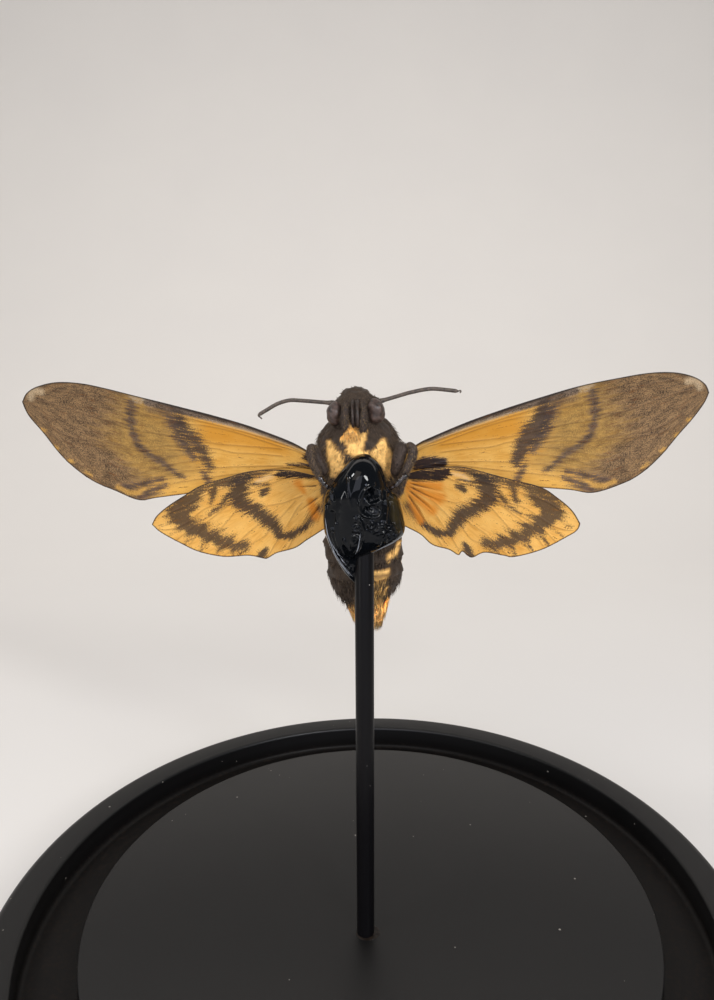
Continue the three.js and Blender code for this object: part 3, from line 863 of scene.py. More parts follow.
def growHair(name, patches, material, slot):
    # joins the hair of all patches in one mesh; a hair leaves along `out`, bends to `comb`
    shape, faces = hairShape()
    h = shape[None, :, 2:]
    points, fields = [], {"ochre": [], "shade": [], "reach": []}
    for p in patches:
        count = len(p["foot"])
        ahead = unit(p["out"])
        comb = unit(p["comb"] + rng.normal(0, p["ruffle"], (count, 3)))
        side = unit(np.cross(ahead, comb))
        other = np.cross(ahead, side)
        curl = p["curl"]
        run = h * (1 - 0.5 * curl) * ahead[:, None] + h * h * curl * comb[:, None]
        spread = (shape[None, :, 0:1] * side[:, None]
                  + p["flat"] * shape[None, :, 1:2] * other[:, None])
        grown = (p["foot"][:, None] + p["length"][:, None, None] * run
                 + p["width"][:, None, None] * spread)
        points.append(grown.reshape(-1, 3))
        every = len(shape)
        odd = 1 - 0.5 * (rng.random(count) < 0.15)  # a brown hair here and there in the ochre
        fields["ochre"].append(np.repeat(p["ochre"] * odd, every))
        fields["shade"].append(np.repeat(rng.uniform(*p.get("light", (0, 1)), count), every))
        fields["reach"].append(np.tile(shape[:, 2], count))
    points = np.vstack(points)
    count = len(points) // len(shape)
    joined = (faces[None] + len(shape) * np.arange(count)[:, None, None]).reshape(-1, 3)
    turned = points @ np.array(mothToWorld.to_3x3()).T + np.array(mothToWorld.translation)
    mesh = bpy.data.meshes.new(name)
    mesh.from_pydata(turned.tolist(), [], joined.tolist())
    for key, values in fields.items():
        mesh.attributes.new(key, "FLOAT", "POINT").data.foreach_set(
            "value", np.concatenate(values).astype(np.float32))
    addPiece(name, mesh, [material], slot)


def scatter(bm, count, weight=None):
    # random places on the faces of a shape, with their normals; bmesh gives its faces in
    # another order in each run, so they are sorted before any is drawn
    bm.normal_update()
    bm.verts.index_update()
    fans = []
    for face in bm.faces:
        ring = [v.index for v in face.verts]
        first = ring.index(min(ring))
        ring = ring[first:] + ring[:first]
        fans += [(ring[0], b, c) for b, c in zip(ring[1:], ring[2:])]
    fans = np.array(sorted(fans))
    corners = np.array([v.co for v in bm.verts])[fans]
    normals = np.array([v.normal for v in bm.verts])[fans]
    area = np.linalg.norm(np.cross(corners[:, 1] - corners[:, 0], corners[:, 2] - corners[:, 0]),
                          axis=1)
    if weight is not None:
        area = area * weight(corners.mean(axis=1))
    pick = rng.choice(len(area), count, p=area / area.sum())
    share = rng.dirichlet((1, 1, 1), count)[:, :, None]
    return (corners[pick] * share).sum(axis=1), unit((normals[pick] * share).sum(axis=1))


# Ochre hair, drawn on the moth's underside as lines of (x, z, width) in mm.
ochrePatches = [
    [(-1.2, 5.4, 0.5), (-0.6, 4.6, 2.6), (-0.35, 4.0, 4.0), (-0.3, 3.2, 3.7), (-0.3, 2.6, 3.0)],
    [(-1.5, 1.6, 0.7), (0.0, 1.3, 1.3), (1.6, 0.9, 0.9)],  # fringe above the glue
    [(-4.5, 2.7, 0.7), (-4.0, 1.7, 1.7), (-3.5, 0.5, 2.6), (-3.3, -0.6, 2.8), (-3.7, -1.8, 1.6),
     (-4.2, -2.5, 0.6)],
    [(4.1, 2.6, 0.9), (3.9, 1.6, 2.3), (4.1, 0.4, 2.8), (4.6, -0.8, 1.9), (4.8, -2.0, 1.3),
     (4.6, -3.2, 0.6)],
    [(2.7, 1.0, 1.1), (3.6, 0.7, 1.5)],
    [(6.1, -14.4, 0.7), (5.2, -15.7, 1.3), (4.6, -16.1, 1.1)],  # abdomen beside the glue
    [(-0.5, -18.6, 0.9), (4.0, -18.6, 0.9)],
    [(-0.5, -20.0, 1.0), (3.6, -20.0, 1.0)],
    [(-0.5, -21.7, 1.5), (3.3, -21.7, 1.4)],
    [(1.5, -22.9, 3.4), (0.8, -24.4, 5.2), (0.4, -26.4, 7.6), (0.2, -29.0, 5.4)],  # tail
]
darkBars = [
    [(-4.6, 3.7, 1.0), (-3.0, 3.05, 1.0), (-1.7, 2.1, 0.7)],
    [(3.2, 3.7, 1.3), (2.2, 2.7, 1.1), (1.5, 1.85, 0.6)],
    [(-2.2, 1.3, 0.5), (-1.5, 0.4, 0.5)],
    [(-0.5, -19.3, 0.4), (4.2, -19.3, 0.4)],
    [(-0.5, -20.8, 0.5), (3.6, -20.8, 0.5)],
    [(2.4, -22.3, 0.5), (3.4, -22.5, 0.5)],
]


def furColour(places):
    # ochre share at each place: the drawn patches below, ringed sides and back above
    below = patchField(places[:, [0, 2]], ochrePatches, 0.25)
    below *= 1 - patchField(places[:, [0, 2]], darkBars, 0.25)
    ring = 0.5 + 0.5 * np.cos(2 * math.pi * (places[:, 2] + 10) / abdomen["ring"])
    flanks = smoothStep(1.2, 2.4, np.abs(places[:, 0])) * smoothStep(-11, -12.5, places[:, 2])
    above = flanks * smoothStep(0.3, 0.6, ring) * 0.9
    above = np.maximum(above, smoothStep(-24, -26, places[:, 2]))
    return np.where(places[:, 1] < -1.0, below, above * (places[:, 1] > 0.8))


# Lumps are their size and height in mm; hair lengths and widths are ranges in mm.
thorax = {
    "profile": [(0, -9.4), (5.4, -8.9), (5.8, -6.5), (6.2, -3), (6.4, 0), (6.2, 2), (5.4, 3.4),
                (4.4, 5), (2.6, 6.4), (0, 6.9)],
    "collar": {"at": (-0.15, 1.6, 1.6), "half": (6.6, 2.6, 5.3), "lumps": (2.2, 0.4), "seed": 8.0},
    "depth": 0.9, "back": 0.4, "steps": 72, "lumps": (3.0, 0.45), "seed": 5.0,
    "hairs": 15000, "hairLength": (0.6, 1.0), "hairWidth": (0.06, 0.13),
    "throat": {"hairs": 240, "length": (0.5, 1.0), "width": (0.04, 0.08), "at": -0.75,
               "out": -5.3, "top": 5.3, "drop": 1.9},
}
abdomen = {
    "profile": [(0, -26.4), (1.6, -26), (2.6, -25.2), (3.6, -24.0), (5.35, -21.8), (6.15, -20.1),
                (6.2, -17.3), (6.25, -14.8), (6.1, -12.4), (5.8, -10.6), (5.4, -8.9), (0, -8.4)],
    "depth": 0.84, "back": 0.3, "shift": 0.05, "steps": 72, "lumps": (2.6, 0.45), "seed": 17.0,
    "ring": 2.7, "firstRing": -9, "swell": 0.55,
    "hairs": 13500, "hairWidth": (0.06, 0.12), "tufts": 1.6,
    # the flat brush of long scales that ends the abdomen; it narrows as it goes down
    # its light range lies above 1, so the brush is painted lighter than its own colour: painted
    # light that makes up for the shade between its hairs
    "tail": {"hairs": 2600, "length": (2.2, 3.6), "width": (0.09, 0.2), "light": (2.1, 3.1),
             "at": (0.35, 0.2), "top": -22.4, "drop": 4.8, "half": (4.1, 2.3),
             "narrowing": (1.9, 1.1), "end": -29.8},
}
head = {
    "profile": [(0, 3.6), (3.6, 4.4), (3.9, 5.6), (3.9, 7.0), (3.4, 8.7), (2.3, 10.0),
                (1.1, 10.7), (0, 10.9)],
    "depth": 0.98, "back": 0.1, "steps": 56, "lumps": (1.6, 0.4), "seed": 11.0,
    "hairs": 8500, "hairLength": (0.25, 0.5), "hairWidth": (0.06, 0.12),
    "streak": [(-1.3, 8.9, 0.2), (-1.3, 5.2, 0.5)],
}


def bodyCore(piece):
    # a turned shape, flattened from belly to back, with soft lumps
    bm = bmesh.new()
    line = smoothLine(piece["profile"], 5)
    line[:, 0] = np.maximum(line[:, 0], 0)
    spinProfile(bm, line, piece["steps"])
    bmesh.ops.scale(bm, vec=(1, piece["depth"], 1), verts=bm.verts)
    bmesh.ops.translate(bm, vec=(piece.get("shift", 0), piece["back"], 0), verts=bm.verts)
    size, height = piece["lumps"]
    roughen(bm, bm.verts, size, height, piece["seed"])
    roughen(bm, bm.verts, size / 2.5, height / 2, piece["seed"] + 3)
    return bm


def finishCore(name, bm, node):
    # the skin under the hair has the hair's own colours
    ochre = furColour(np.array([v.co for v in bm.verts]))
    paintLayers(bm, {"ochre": ochre, "shade": 0.35 + 0.5 * ochre, "reach": 0.2 + 0.4 * ochre})
    placePiece(name, bm, [bodyFur], "moth_fur", node)


def ringPhase(height):
    # 0 at the front edge of each ring of the abdomen, 1 at its rear edge
    return ((abdomen["firstRing"] - height) / abdomen["ring"]) % 1.0


def buildThorax():
    bm = bodyCore(thorax)
    collar, throat = thorax["collar"], thorax["throat"]
    ruff = addBall(bm, collar["at"], collar["half"], 4)
    roughen(bm, ruff, *collar["lumps"], collar["seed"])
    foot, normal = scatter(bm, thorax["hairs"])
    ochre = furColour(foot)
    count = len(foot)
    comb = np.stack([0.08 * foot[:, 0], 0.15 * normal[:, 1], -np.ones(count)], axis=1)
    sides = smoothStep(3.5, 6.0, np.abs(foot[:, 0])) * (ochre < 0.5)
    fur = {
        "foot": foot - 0.2 * normal,
        "out": normal * 0.75 + unit(comb) * 0.7 + rng.normal(0, 0.16, (count, 3)),
        "comb": comb, "ruffle": 0.22, "curl": 0.75, "flat": 0.45,
        "length": rng.uniform(*thorax["hairLength"], count) + 0.3 * sides - 0.35 * (ochre > 0.5),
        "width": rng.uniform(*thorax["hairWidth"], count), "ochre": ochre,
    }
    # the loose tuft that hangs from the throat
    count = throat["hairs"]
    at = rng.uniform(-1, 1, count)
    start = rng.beta(1.4, 1.6, count)
    tuft = {
        "foot": np.stack([throat["at"] + at * (0.3 + 1.6 * start),
                          throat["out"] - 0.3 * rng.random(count),
                          throat["top"] - throat["drop"] * start], axis=1),
        "out": np.stack([0.3 * at, -0.55 * np.ones(count), -np.ones(count)], axis=1)
        + rng.normal(0, 0.1, (count, 3)),
        "comb": np.tile((0.0, -0.1, -1.0), (count, 1)), "ruffle": 0.15, "curl": 0.5, "flat": 0.5,
        "length": rng.uniform(*throat["length"], count),
        "width": rng.uniform(*throat["width"], count),
        # a light range partly above 1: the tuft is painted lighter than its own colour, painted
        # light that makes up for the shade between its hairs
        "ochre": np.ones(count), "light": (0.9, 1.4),
    }
    finishCore("thorax_skin", bm, "thorax")
    growHair("thorax_hair", [fur, tuft], bodyFur, "moth_fur")


def buildHead():
    bm = bodyCore(head)
    foot, normal = scatter(bm, head["hairs"])
    count = len(foot)
    comb = np.stack([0.15 * foot[:, 0], -0.2 * np.ones(count), -0.7 * np.ones(count)], axis=1)
    streak = patchField(foot[:, [0, 2]], [head["streak"]], 0.2)
    fur = {
        "foot": foot - 0.15 * normal,
        "out": normal + rng.normal(0, 0.3, (count, 3)), "comb": comb, "ruffle": 0.5,
        "curl": 0.9, "flat": 0.5, "length": rng.uniform(*head["hairLength"], count),
        "width": rng.uniform(*head["hairWidth"], count),
        "ochre": 0.8 * streak * (foot[:, 1] < -2),
    }
    finishCore("head_skin", bm, "head")
    growHair("head_hair", [fur], bodyFur, "moth_fur")


def buildAbdomen():
    bm = bodyCore(abdomen)
    for v in bm.verts:
        # each ring swells towards its rear edge, then steps in
        swell = abdomen["swell"] * (ringPhase(v.co.z) - 0.5)
        swell *= float(smoothStep(-26, -23.5, v.co.z))
        v.co.x += swell * v.normal.x
        v.co.y += swell * v.normal.y
    foot, normal = scatter(bm, abdomen["hairs"])
    count = len(foot)
    ochre = furColour(foot)
    comb = np.stack([-0.12 * foot[:, 0], np.zeros(count), -np.ones(count)], axis=1)
    lumps = np.array([noise.noise(Vector(p) / abdomen["tufts"]) for p in foot])
    fur = {
        "foot": foot - 0.2 * normal,
        "out": normal * (0.65 + 0.7 * lumps[:, None]) + unit(comb) * 0.8
        + rng.normal(0, 0.18, (count, 3)),
        "comb": comb, "ruffle": 0.25, "curl": 0.75, "flat": 0.4,
        "length": 0.55 + 0.45 * ringPhase(foot[:, 2]) + 0.8 * np.clip(lumps, 0, 1)
        + rng.uniform(0, 0.4, count),
        "width": rng.uniform(*abdomen["hairWidth"], count), "ochre": ochre,
    }
    brush = abdomen["tail"]
    count = brush["hairs"]
    across = rng.uniform(-1, 1, count)
    deep = rng.uniform(-1, 1, count)
    down = rng.beta(1.5, 1.4, count)
    half, thick = (size - less * down for size, less in zip(brush["half"], brush["narrowing"]))
    foot = np.stack([brush["at"][0] + across * half,
                     brush["at"][1] + deep * thick * np.sqrt(1 - 0.8 * across ** 2),
                     brush["top"] - brush["drop"] * down], axis=1)
    tail = {
        "foot": foot,
        "out": np.stack([-0.13 * across, -0.1 * deep, -np.ones(count)], axis=1)
        + rng.normal(0, 0.035, (count, 3)),
        "comb": np.stack([-0.2 * across, -0.2 * deep, -np.ones(count)], axis=1), "ruffle": 0.08,
        "curl": 0.4, "flat": 0.35,
        # none reaches past the end
        "length": np.minimum(rng.uniform(*brush["length"], count),
                             (foot[:, 2] - brush["end"]) / 0.98),
        "width": rng.uniform(*brush["width"], count), "light": brush["light"],
        "ochre": 1 - 0.35 * smoothStep(-0.05, 0.3, np.sin(across * 9.0 + 0.6) - 0.85),
    }
    finishCore("abdomen_skin", bm, "abdomen")
    growHair("abdomen_hair", [fur, tail], bodyFur, "moth_fur")


buildThorax()
buildHead()
buildAbdomen()
print("body and fur built")


def simpleSkin(name, settings):
    # dried skin of the small parts: a fine pebbled surface with its own two tones
    material, tree = newMaterial(name, settings["shader"])
    place = addNode(tree, "TexCoord", output="Object")
    tone = addNode(tree, "TexNoise", {
        "Vector": place, "Scale": 1 / (settings["grain"] * mm), "Detail": 4, "Roughness": 0.65}, 0)
    tone = addNode(tree, "MapRange", {"Value": tone, "From Min": 0.35, "From Max": 0.65}, "Result")
    colour = addNode(tree, "Mix", {0: tone, 6: settings["low"], 7: settings["high"]}, 2,
                     data_type="RGBA")
    pebbles = addNode(tree, "TexVoronoi", {
        "Vector": place, "Scale": 1 / (settings["pebble"] * mm)}, "Distance")
    bump = addNode(tree, "Bump", {"Height": pebbles, "Strength": settings["bump"],
                                  "Distance": 0.06 * mm}, "Normal")
    return linkShader(material, {"Base Color": colour, "Normal": bump})


# dried compound eye: dull glassy skin over a greyed core; facets drawn 0.16 mm so that they show
driedEye = simpleSkin("driedCompoundEye", {
    "shader": {"Roughness": 0.42, "IOR": 1.45, "Coat Weight": 0.12, "Coat Roughness": 0.3},
    "low": "#1c1512", "high": "#54423a", "grain": 0.7, "pebble": 0.16, "bump": 0.5})
# bare tongue: brown chitin, half matt
tongueChitin = simpleSkin("tongueChitin", {
    "shader": {"Roughness": 0.4, "IOR": 1.56, "Specular IOR Level": 0.3}, "low": "#15100d",
    "high": "#3a2c24", "grain": 0.5, "pebble": 0.3, "bump": 0.4})
# bare feet: brown-black chitin, smooth and shiny
glossyChitin = simpleSkin("glossyChitin", {
    "shader": {"Roughness": 0.22, "IOR": 1.56}, "low": "#120d0b", "high": "#2e221c",
    "grain": 0.7, "pebble": 0.3, "bump": 0.25})
# skin under the scales of legs and palps: dull brown
dullChitin = simpleSkin("dullScaledChitin", {
    "shader": {"Roughness": 0.55, "IOR": 1.5, "Specular IOR Level": 0.3}, "low": "#1f1712",
    "high": "#4b3d33", "grain": 0.4, "pebble": 0.2, "bump": 0.5})
# antenna: dark ringed chitin under a bloom of pale scales
scaledAntenna = simpleSkin("scaledAntenna", {
    "shader": {"Roughness": 0.5, "IOR": 1.5}, "low": "#251f1b", "high": "#5f5246",
    "grain": 0.35, "pebble": 0.12, "bump": 0.4})

eyes = {
    "eye_left": {"at": (-3.35, -2.7, 7.1), "half": (1.2, 1.5, 1.95), "turn": 6},
    "eye_right": {"at": (3.1, -2.9, 7.3), "half": (1.42, 1.5, 1.95), "turn": -6},
}
palps = {
    "palp_left": {"line": [(-1.3, -3.9, 8.9), (-1.5, -4.7, 7.8), (-1.6, -5.2, 6.4),
                           (-1.45, -5.2, 5.0)], "radii": [0.3, 0.5, 0.55, 0.35]},
    "palp_right": {"line": [(1.2, -3.9, 8.9), (1.3, -4.7, 7.8), (1.35, -5.2, 6.4),
                            (1.2, -5.2, 4.7)], "radii": [0.3, 0.5, 0.6, 0.4]},
}
palpScales = {"count": 1400, "length": (0.3, 0.6), "width": (0.05, 0.1)}
tongue = {
    "line": [(0, -2.9, 9.2), (0, -3.9, 8.9), (0, -4.8, 8.3), (0, -5.4, 7.3), (0, -5.5, 6.2),
             (0, -5.2, 5.4), (0, -4.5, 5.1)],
    "coils": [-0.37, 0.02, 0.4], "radii": [0.25, 0.17, 0.3], "at": 0.05, "ring": 0.22,
    "sunk": 0.34,  # how far the middle strand lies behind the others
}
antennae = {
    "antenna_left": [(-3.2, 1.0, 8.35), (-4.2, 1.3, 8.4), (-6.5, 1.5, 8.65), (-9.2, 1.5, 8.95),
                     (-10.9, 1.5, 9.05), (-12.8, 1.5, 8.6), (-14.6, 1.5, 7.7),
                     (-16.1, 1.5, 6.85), (-15.9, 1.5, 6.5), (-15.6, 1.5, 6.2)],
    "antenna_right": [(2.9, 1.0, 8.2), (3.9, 1.3, 8.45), (6.0, 1.5, 8.95), (8.6, 1.5, 9.6),
                      (11.7, 1.5, 10.05), (14.3, 1.5, 9.8), (16.0, 1.5, 9.55),
                      (16.6, 1.5, 9.6), (16.5, 1.5, 9.2)],
}
forelegs = {
    "foreleg_left": {
        "thigh": [(-4.9, -5.2, -2.2), (-6.0, -5.5, 0.3), (-6.7, -5.3, 2.5)],
        "thighRadii": [0.8, 0.95, 0.8],
        "shin": [(-6.8, -5.4, 2.9), (-6.9, -6.0, 1.3), (-6.3, -6.6, -0.6), (-5.6, -7.2, -2.1)],
        "shinRadii": [0.85, 0.85, 0.7, 0.55],
        "foot": [(-5.7, -7.2, -2.0), (-5.1, -7.4, -2.9), (-4.5, -7.4, -3.6), (-3.7, -7.3, -4.1)],
    },
    "foreleg_right": {
        "thigh": [(5.8, -5.0, -2.7), (6.3, -5.2, -0.6), (7.0, -5.1, 1.4), (7.4, -5.0, 2.2)],
        "thighRadii": [0.85, 1.15, 1.1, 0.8],
        "shin": [(7.9, -5.2, 2.5), (8.7, -5.7, 1.7), (8.6, -6.0, 0.7), (7.9, -6.5, -0.8),
                 (7.2, -6.8, -2.3), (6.8, -6.8, -3.8), (6.5, -6.5, -5.3)],
        "shinRadii": [0.6, 0.75, 0.78, 0.74, 0.68, 0.6, 0.45],
        "foot": [(7.7, -7.3, -2.1), (6.7, -7.6, -2.8), (5.9, -7.8, -3.6), (5.0, -7.7, -4.1)],
    },
}


legScales = {"count": 2600, "length": (0.3, 0.6), "width": (0.035, 0.07)}


def buildFace():
    for name, eye in eyes.items():
        bm = bmesh.new()
        turn = Matrix.Rotation(math.radians(eye["turn"]), 4, "Y")
        verts = addBall(bm, eye["at"], eye["half"], 5, turn)
        roughen(bm, verts, 0.9, 0.2, eye["at"][0])
        placePiece(name + "_dried", bm, [driedEye], "moth_eye", name)
    tufts = []
    for name, palp in palps.items():
        bm = bmesh.new()
        line = smoothLine(palp["line"], 6)
        verts = sweepTube(bm, line, spreadRadii(palp["radii"], line), 16)
        roughen(bm, verts, 0.8, 0.2, line[0][0])
        foot, normal = scatter(bm, palpScales["count"])
        count = len(foot)
        tufts.append({
            "foot": foot - 0.1 * normal, "out": normal + rng.normal(0, 0.25, (count, 3)),
            "comb": np.tile((0.0, -0.3, -1.0), (count, 1)), "ruffle": 0.4, "curl": 0.8,
            "flat": 0.5, "length": rng.uniform(*palpScales["length"], count),
            "width": rng.uniform(*palpScales["width"], count), "light": (0, 0.7),
            "ochre": (rng.random(count) < 0.12) * 0.7,
        })
        placePiece(name + "_skin", bm, [dullChitin], "moth_scale", name)
    growHair("palp_scales", tufts, legFur, "moth_scale")
    bm = bmesh.new()
    line = smoothLine(tongue["line"], 9)
    along = np.linspace(0, 1, len(line))
    for x, radius in zip(tongue["coils"], tongue["radii"]):
        # rings along the tongue and a taper at both ends
        rings = 1 + 0.07 * np.cos(2 * math.pi * along * 9.0 / tongue["ring"] / 3)
        radii = radius * rings * np.minimum(1, 0.5 + 4 * np.minimum(along, 1 - along))
        sweepTube(bm, line + np.array([x + tongue["at"], tongue["sunk"] - abs(x), 0]), radii, 14)
    placePiece("proboscis_coiled", bm, [tongueChitin], "moth_scale", "proboscis")


def buildAntennae():
    for name, points in antennae.items():
        bm = bmesh.new()
        line = smoothLine(points, 16)
        along = np.concatenate([[0], np.cumsum(np.linalg.norm(np.diff(line, axis=0), axis=1))])
        even = np.arange(0, along[-1], 0.1)
        line = np.stack([np.interp(even, along, line[:, i]) for i in range(3)], axis=1)
        # a blunt end that carries a fine hook
        taper = 1 - smoothStep(along[-1] - 1.3, along[-1] - 0.7, even) * 0.62
        saw = 1 + 0.13 * ((even / 0.4) % 1.0 - 0.5)  # rings, drawn 0.4 mm apart
        root = 1 + 0.4 * np.exp(-((even - 0.8) / 0.7) ** 2)
        sweepTube(bm, line, 0.33 * taper * saw * root, 12)
        placePiece(name + "_ringed", bm, [scaledAntenna], "moth_scale", name)


def buildLegs():
    tufts = []
    for name, leg in forelegs.items():
        bm = bmesh.new()
        for part in ("thigh", "shin"):
            line = smoothLine(leg[part], 7)
            # both ends are rounded off
            ends = np.linspace(0, 1, len(line))
            rounded = np.sqrt(np.clip(1 - (2 * ends - 1) ** 16, 0.08, 1))
            radii = spreadRadii(leg[part + "Radii"], line) * rounded
            limb = bmesh.new()
            verts = sweepTube(limb, line, radii - 0.12, 16)
            roughen(limb, verts, 1.6, 0.1, line[0][0])
            foot, normal = scatter(limb, legScales["count"])
            count = len(foot)
            ahead = np.tile(unit(line[-1] - line[0]), (count, 1))
            tufts.append({
                "foot": foot - 0.1 * normal,
                "out": normal * 0.7 + 0.6 * ahead + rng.normal(0, 0.18, (count, 3)),
                "comb": ahead, "ruffle": 0.3, "curl": 0.8, "flat": 0.45,
                "length": rng.uniform(*legScales["length"], count)
                * (1.0 if part == "shin" else 0.75),
                "width": rng.uniform(*legScales["width"], count),
                "ochre": (rng.random(count) < 0.25) * (0.6 if part == "shin" else 0.0),
                "light": (0.2, 1) if part == "shin" else (0, 0.3),
            })
            mesh = bpy.data.meshes.new("limb")
            limb.to_mesh(mesh)
            limb.free()
            bm.from_mesh(mesh)
            bpy.data.meshes.remove(mesh)
        placePiece(name + "_skin", bm, [dullChitin], "moth_scale", name)
        bm = bmesh.new()
        line = smoothLine(leg["foot"], 8)
        steps = np.linspace(0, 1, len(line))
        radii = (0.42 - 0.14 * steps) * (1 + 0.22 * np.abs(np.sin(steps * math.pi * 4)))
        sweepTube(bm, line, radii, 14)
        placePiece(name + "_foot", bm, [glossyChitin], "moth_scale")
    growHair("foreleg_hair", tufts, legFur, "moth_scale")


buildFace()
buildAntennae()
buildLegs()
print("face, antennae and legs built")


glue = {
    # height and the left, right, front and back limits of each level, in mm
    "levels": [
        (1.45, 1.0, 1.0, -8.6, -8.6), (1.3, 0.1, 2.0, -9.8, -6.8), (0.95, -0.5, 2.7, -10.8, -6.2),
        (0.4, -1.1, 3.3, -11.7, -5.8), (-0.5, -1.9, 3.9, -12.5, -5.4),
        (-1.5, -2.7, 4.25, -13.0, -5.0), (-2.6, -3.5, 4.5, -13.3, -4.8),
        (-4.0, -4.5, 4.9, -13.4, -4.6), (-5.0, -4.9, 6.1, -13.4, -4.6),
        (-6.4, -5.15, 6.6, -13.3, -4.6), (-8.4, -5.25, 7.0, -13.2, -4.6),
        (-10.1, -5.2, 7.15, -13.0, -4.6), (-11.3, -4.9, 6.7, -12.7, -4.6),
        (-12.2, -4.65, 5.4, -12.2, -4.6), (-13.2, -4.4, 3.6, -11.4, -4.6),
        (-13.9, -4.2, 2.2, -10.6, -4.6), (-14.6, -4.0, 1.4, -9.9, -4.6),
        (-15.8, -3.5, 1.0, -9.4, -4.7), (-17.4, -2.6, 0.6, -9.0, -5.0),
        (-18.8, -1.3, 0.1, -8.6, -5.6), (-19.4, -0.5, -0.3, -8.0, -6.4),
    ],
    "segments": 250, "rings": 220, "smoothings": 3,
    # folds of the skin: lines of (x, z, width), raised by the height
    "ridges": [
        ([(-4.4, -5.6, 0.4), (-4.5, -9.0, 0.4), (-4.0, -12.1, 0.45), (-3.2, -14.6, 0.4)], 0.3),
        ([(-3.0, -8.2, 0.4), (-3.1, -9.8, 0.5), (-2.6, -12.0, 0.45), (-2.1, -13.4, 0.3)], 0.4),
        ([(-3.8, -9.2, 0.3), (-3.4, -11.3, 0.35), (-2.8, -12.9, 0.35), (-2.2, -13.8, 0.3)], 0.3),
        ([(-1.9, -10.6, 0.4), (-1.2, -12.5, 0.4)], 0.4),
        ([(-3.6, -12.6, 0.3), (-3.2, -13.9, 0.3), (-2.6, -15.6, 0.3), (-1.6, -17.4, 0.25)], 0.32),
        ([(-3.0, -13.0, 0.3), (-2.2, -14.6, 0.3), (-1.4, -16.0, 0.25)], 0.32),
        ([(0.5, -7.0, 0.3), (1.0, -8.4, 0.35), (1.0, -10.0, 0.35), (0.1, -12.4, 0.3)], 0.42),
        ([(-0.9, -1.2, 0.3), (-0.9, -3.4, 0.35), (-0.5, -5.6, 0.35)], 0.13),
        ([(2.9, -2.4, 0.35), (1.7, -3.0, 0.35), (1.0, -4.2, 0.35), (0.7, -5.6, 0.4),
          (1.4, -6.9, 0.4), (3.4, -7.0, 0.4), (3.8, -5.2, 0.4), (3.6, -3.4, 0.4)], 0.36),
        ([(4.4, -3.8, 0.35), (4.5, -6.0, 0.4), (4.3, -8.2, 0.35)], 0.3),
    ],
    "dents": [
        ([(-3.5, -6.7, 0.8), (-3.55, -9.2, 0.7)], 0.45),
        ([(2.4, -3.6, 1.3), (2.7, -4.4, 1.4)], 0.9),
        ([(1.9, -6.2, 1.4), (2.9, -6.1, 1.4)], 0.4),
        ([(5.1, -4.6, 0.5), (5.5, -8.4, 0.6)], 0.35),
    ],
    # wrinkled skin: patches of (x, z, width)
    "crumples": [
        ([(2.8, -3.4, 1.2), (2.9, -4.6, 1.8), (2.3, -6.8, 2.2)], 0.5),
        ([(2.4, -8.6, 1.6), (4.4, -9.4, 2.2), (5.4, -10.2, 1.8)], 0.75),
        ([(0.4, -7.6, 1.2), (0.0, -10.6, 1.6), (-0.3, -12.4, 1.2)], 0.6),
        ([(-3.4, -3.4, 0.9), (-3.6, -5.0, 0.8)], 0.6),
        ([(2.6, -11.4, 0.9), (4.0, -11.2, 0.9)], 0.5),
        ([(-2.4, -14.6, 1.0), (-1.2, -16.6, 1.0)], 0.4),
    ],
    "crumpleSize": 0.95,
    # threads pulled over the skin, (x, z)
    "threads": [
        [(-4.7, -7.6), (-4.6, -8.9), (-4.4, -10.4), (-3.8, -12.7), (-2.7, -15.4), (-1.2, -17.6)],
        [(-4.1, -11.6), (-3.6, -13.6), (-2.8, -15.5), (-1.6, -17.4)],
        [(-3.4, -12.2), (-2.9, -13.8), (-2.0, -15.4)],
        [(-4.5, -10.0), (-3.9, -11.8), (-3.1, -13.2), (-2.4, -14.0)],
        [(2.0, -13.5), (3.5, -12.6), (5.4, -11.8), (6.6, -10.8)],
        [(-0.5, -13.4), (0.2, -11.8), (0.6, -9.6)],
    ],
    "threadRadius": 0.085,
    # the brown-olive film: lines of (x, z, width), and over how many mm it fades
    "film": [[(5.6, -5.2, 1.4), (5.9, -7.4, 1.6), (6.3, -9.8, 1.0)],
             [(6.4, -11.0, 0.8), (4.8, -12.6, 0.8)]],
    "filmFade": 0.6,
    # the threads' pale grey is partly the grey of thin glue and partly a painted highlight
    "black": "#07090c", "olive": "#2b2413", "threadGreyGlint": "#7f8287",
}
# the smear at the rod's foot, beside its axis; its lumps are size and height in mm
residue = {"beside": (0.4, -0.1), "half": (2.1, 1.9, 0.14), "lumps": (0.9, 0.16), "seed": 3.0}


def glueFinish():
    # black hot glue, set: wet-looking and near black, with a thin brown-olive film on the right;
    # its pulled threads are painted pale grey, partly the grey of thin glue and partly a painted
    # highlight for their glints
    material, tree = newMaterial("setBlackGlue", {
        "Roughness": 0.04, "IOR": 1.5, "Specular IOR Level": 0.17})
    film = addNode(tree, "Attribute", output="Fac", attribute_name="film")
    place = addNode(tree, "TexCoord", output="Object")
    cloud = addNode(tree, "TexNoise", {"Vector": place, "Scale": 1 / (1.6 * mm), "Detail": 2}, 0)
    thin = addNode(tree, "Math", {0: film, 1: cloud}, 0, operation="MULTIPLY")
    thin = addNode(tree, "MapRange", {"Value": thin, "From Min": 0.1, "From Max": 0.6}, "Result")
    colour = addNode(tree, "Mix", {0: thin, 6: glue["black"], 7: glue["olive"]}, 2,
                     data_type="RGBA")
    # the threads in pale grey: partly thin glue, partly a painted highlight
    drawn = addNode(tree, "Attribute", output="Fac", attribute_name="threadGlint")
    colour = addNode(tree, "Mix", {0: drawn, 6: colour, 7: glue["threadGreyGlint"]}, 2,
                     data_type="RGBA")
    ripple = addNode(tree, "TexNoise", {"Vector": place, "Scale": 1 / (0.9 * mm), "Detail": 1}, 0)
    bump = addNode(tree, "Bump", {"Height": ripple, "Strength": 0.08, "Distance": 0.2 * mm},
                   "Normal")
    return linkShader(material, {"Base Color": colour, "Normal": bump})


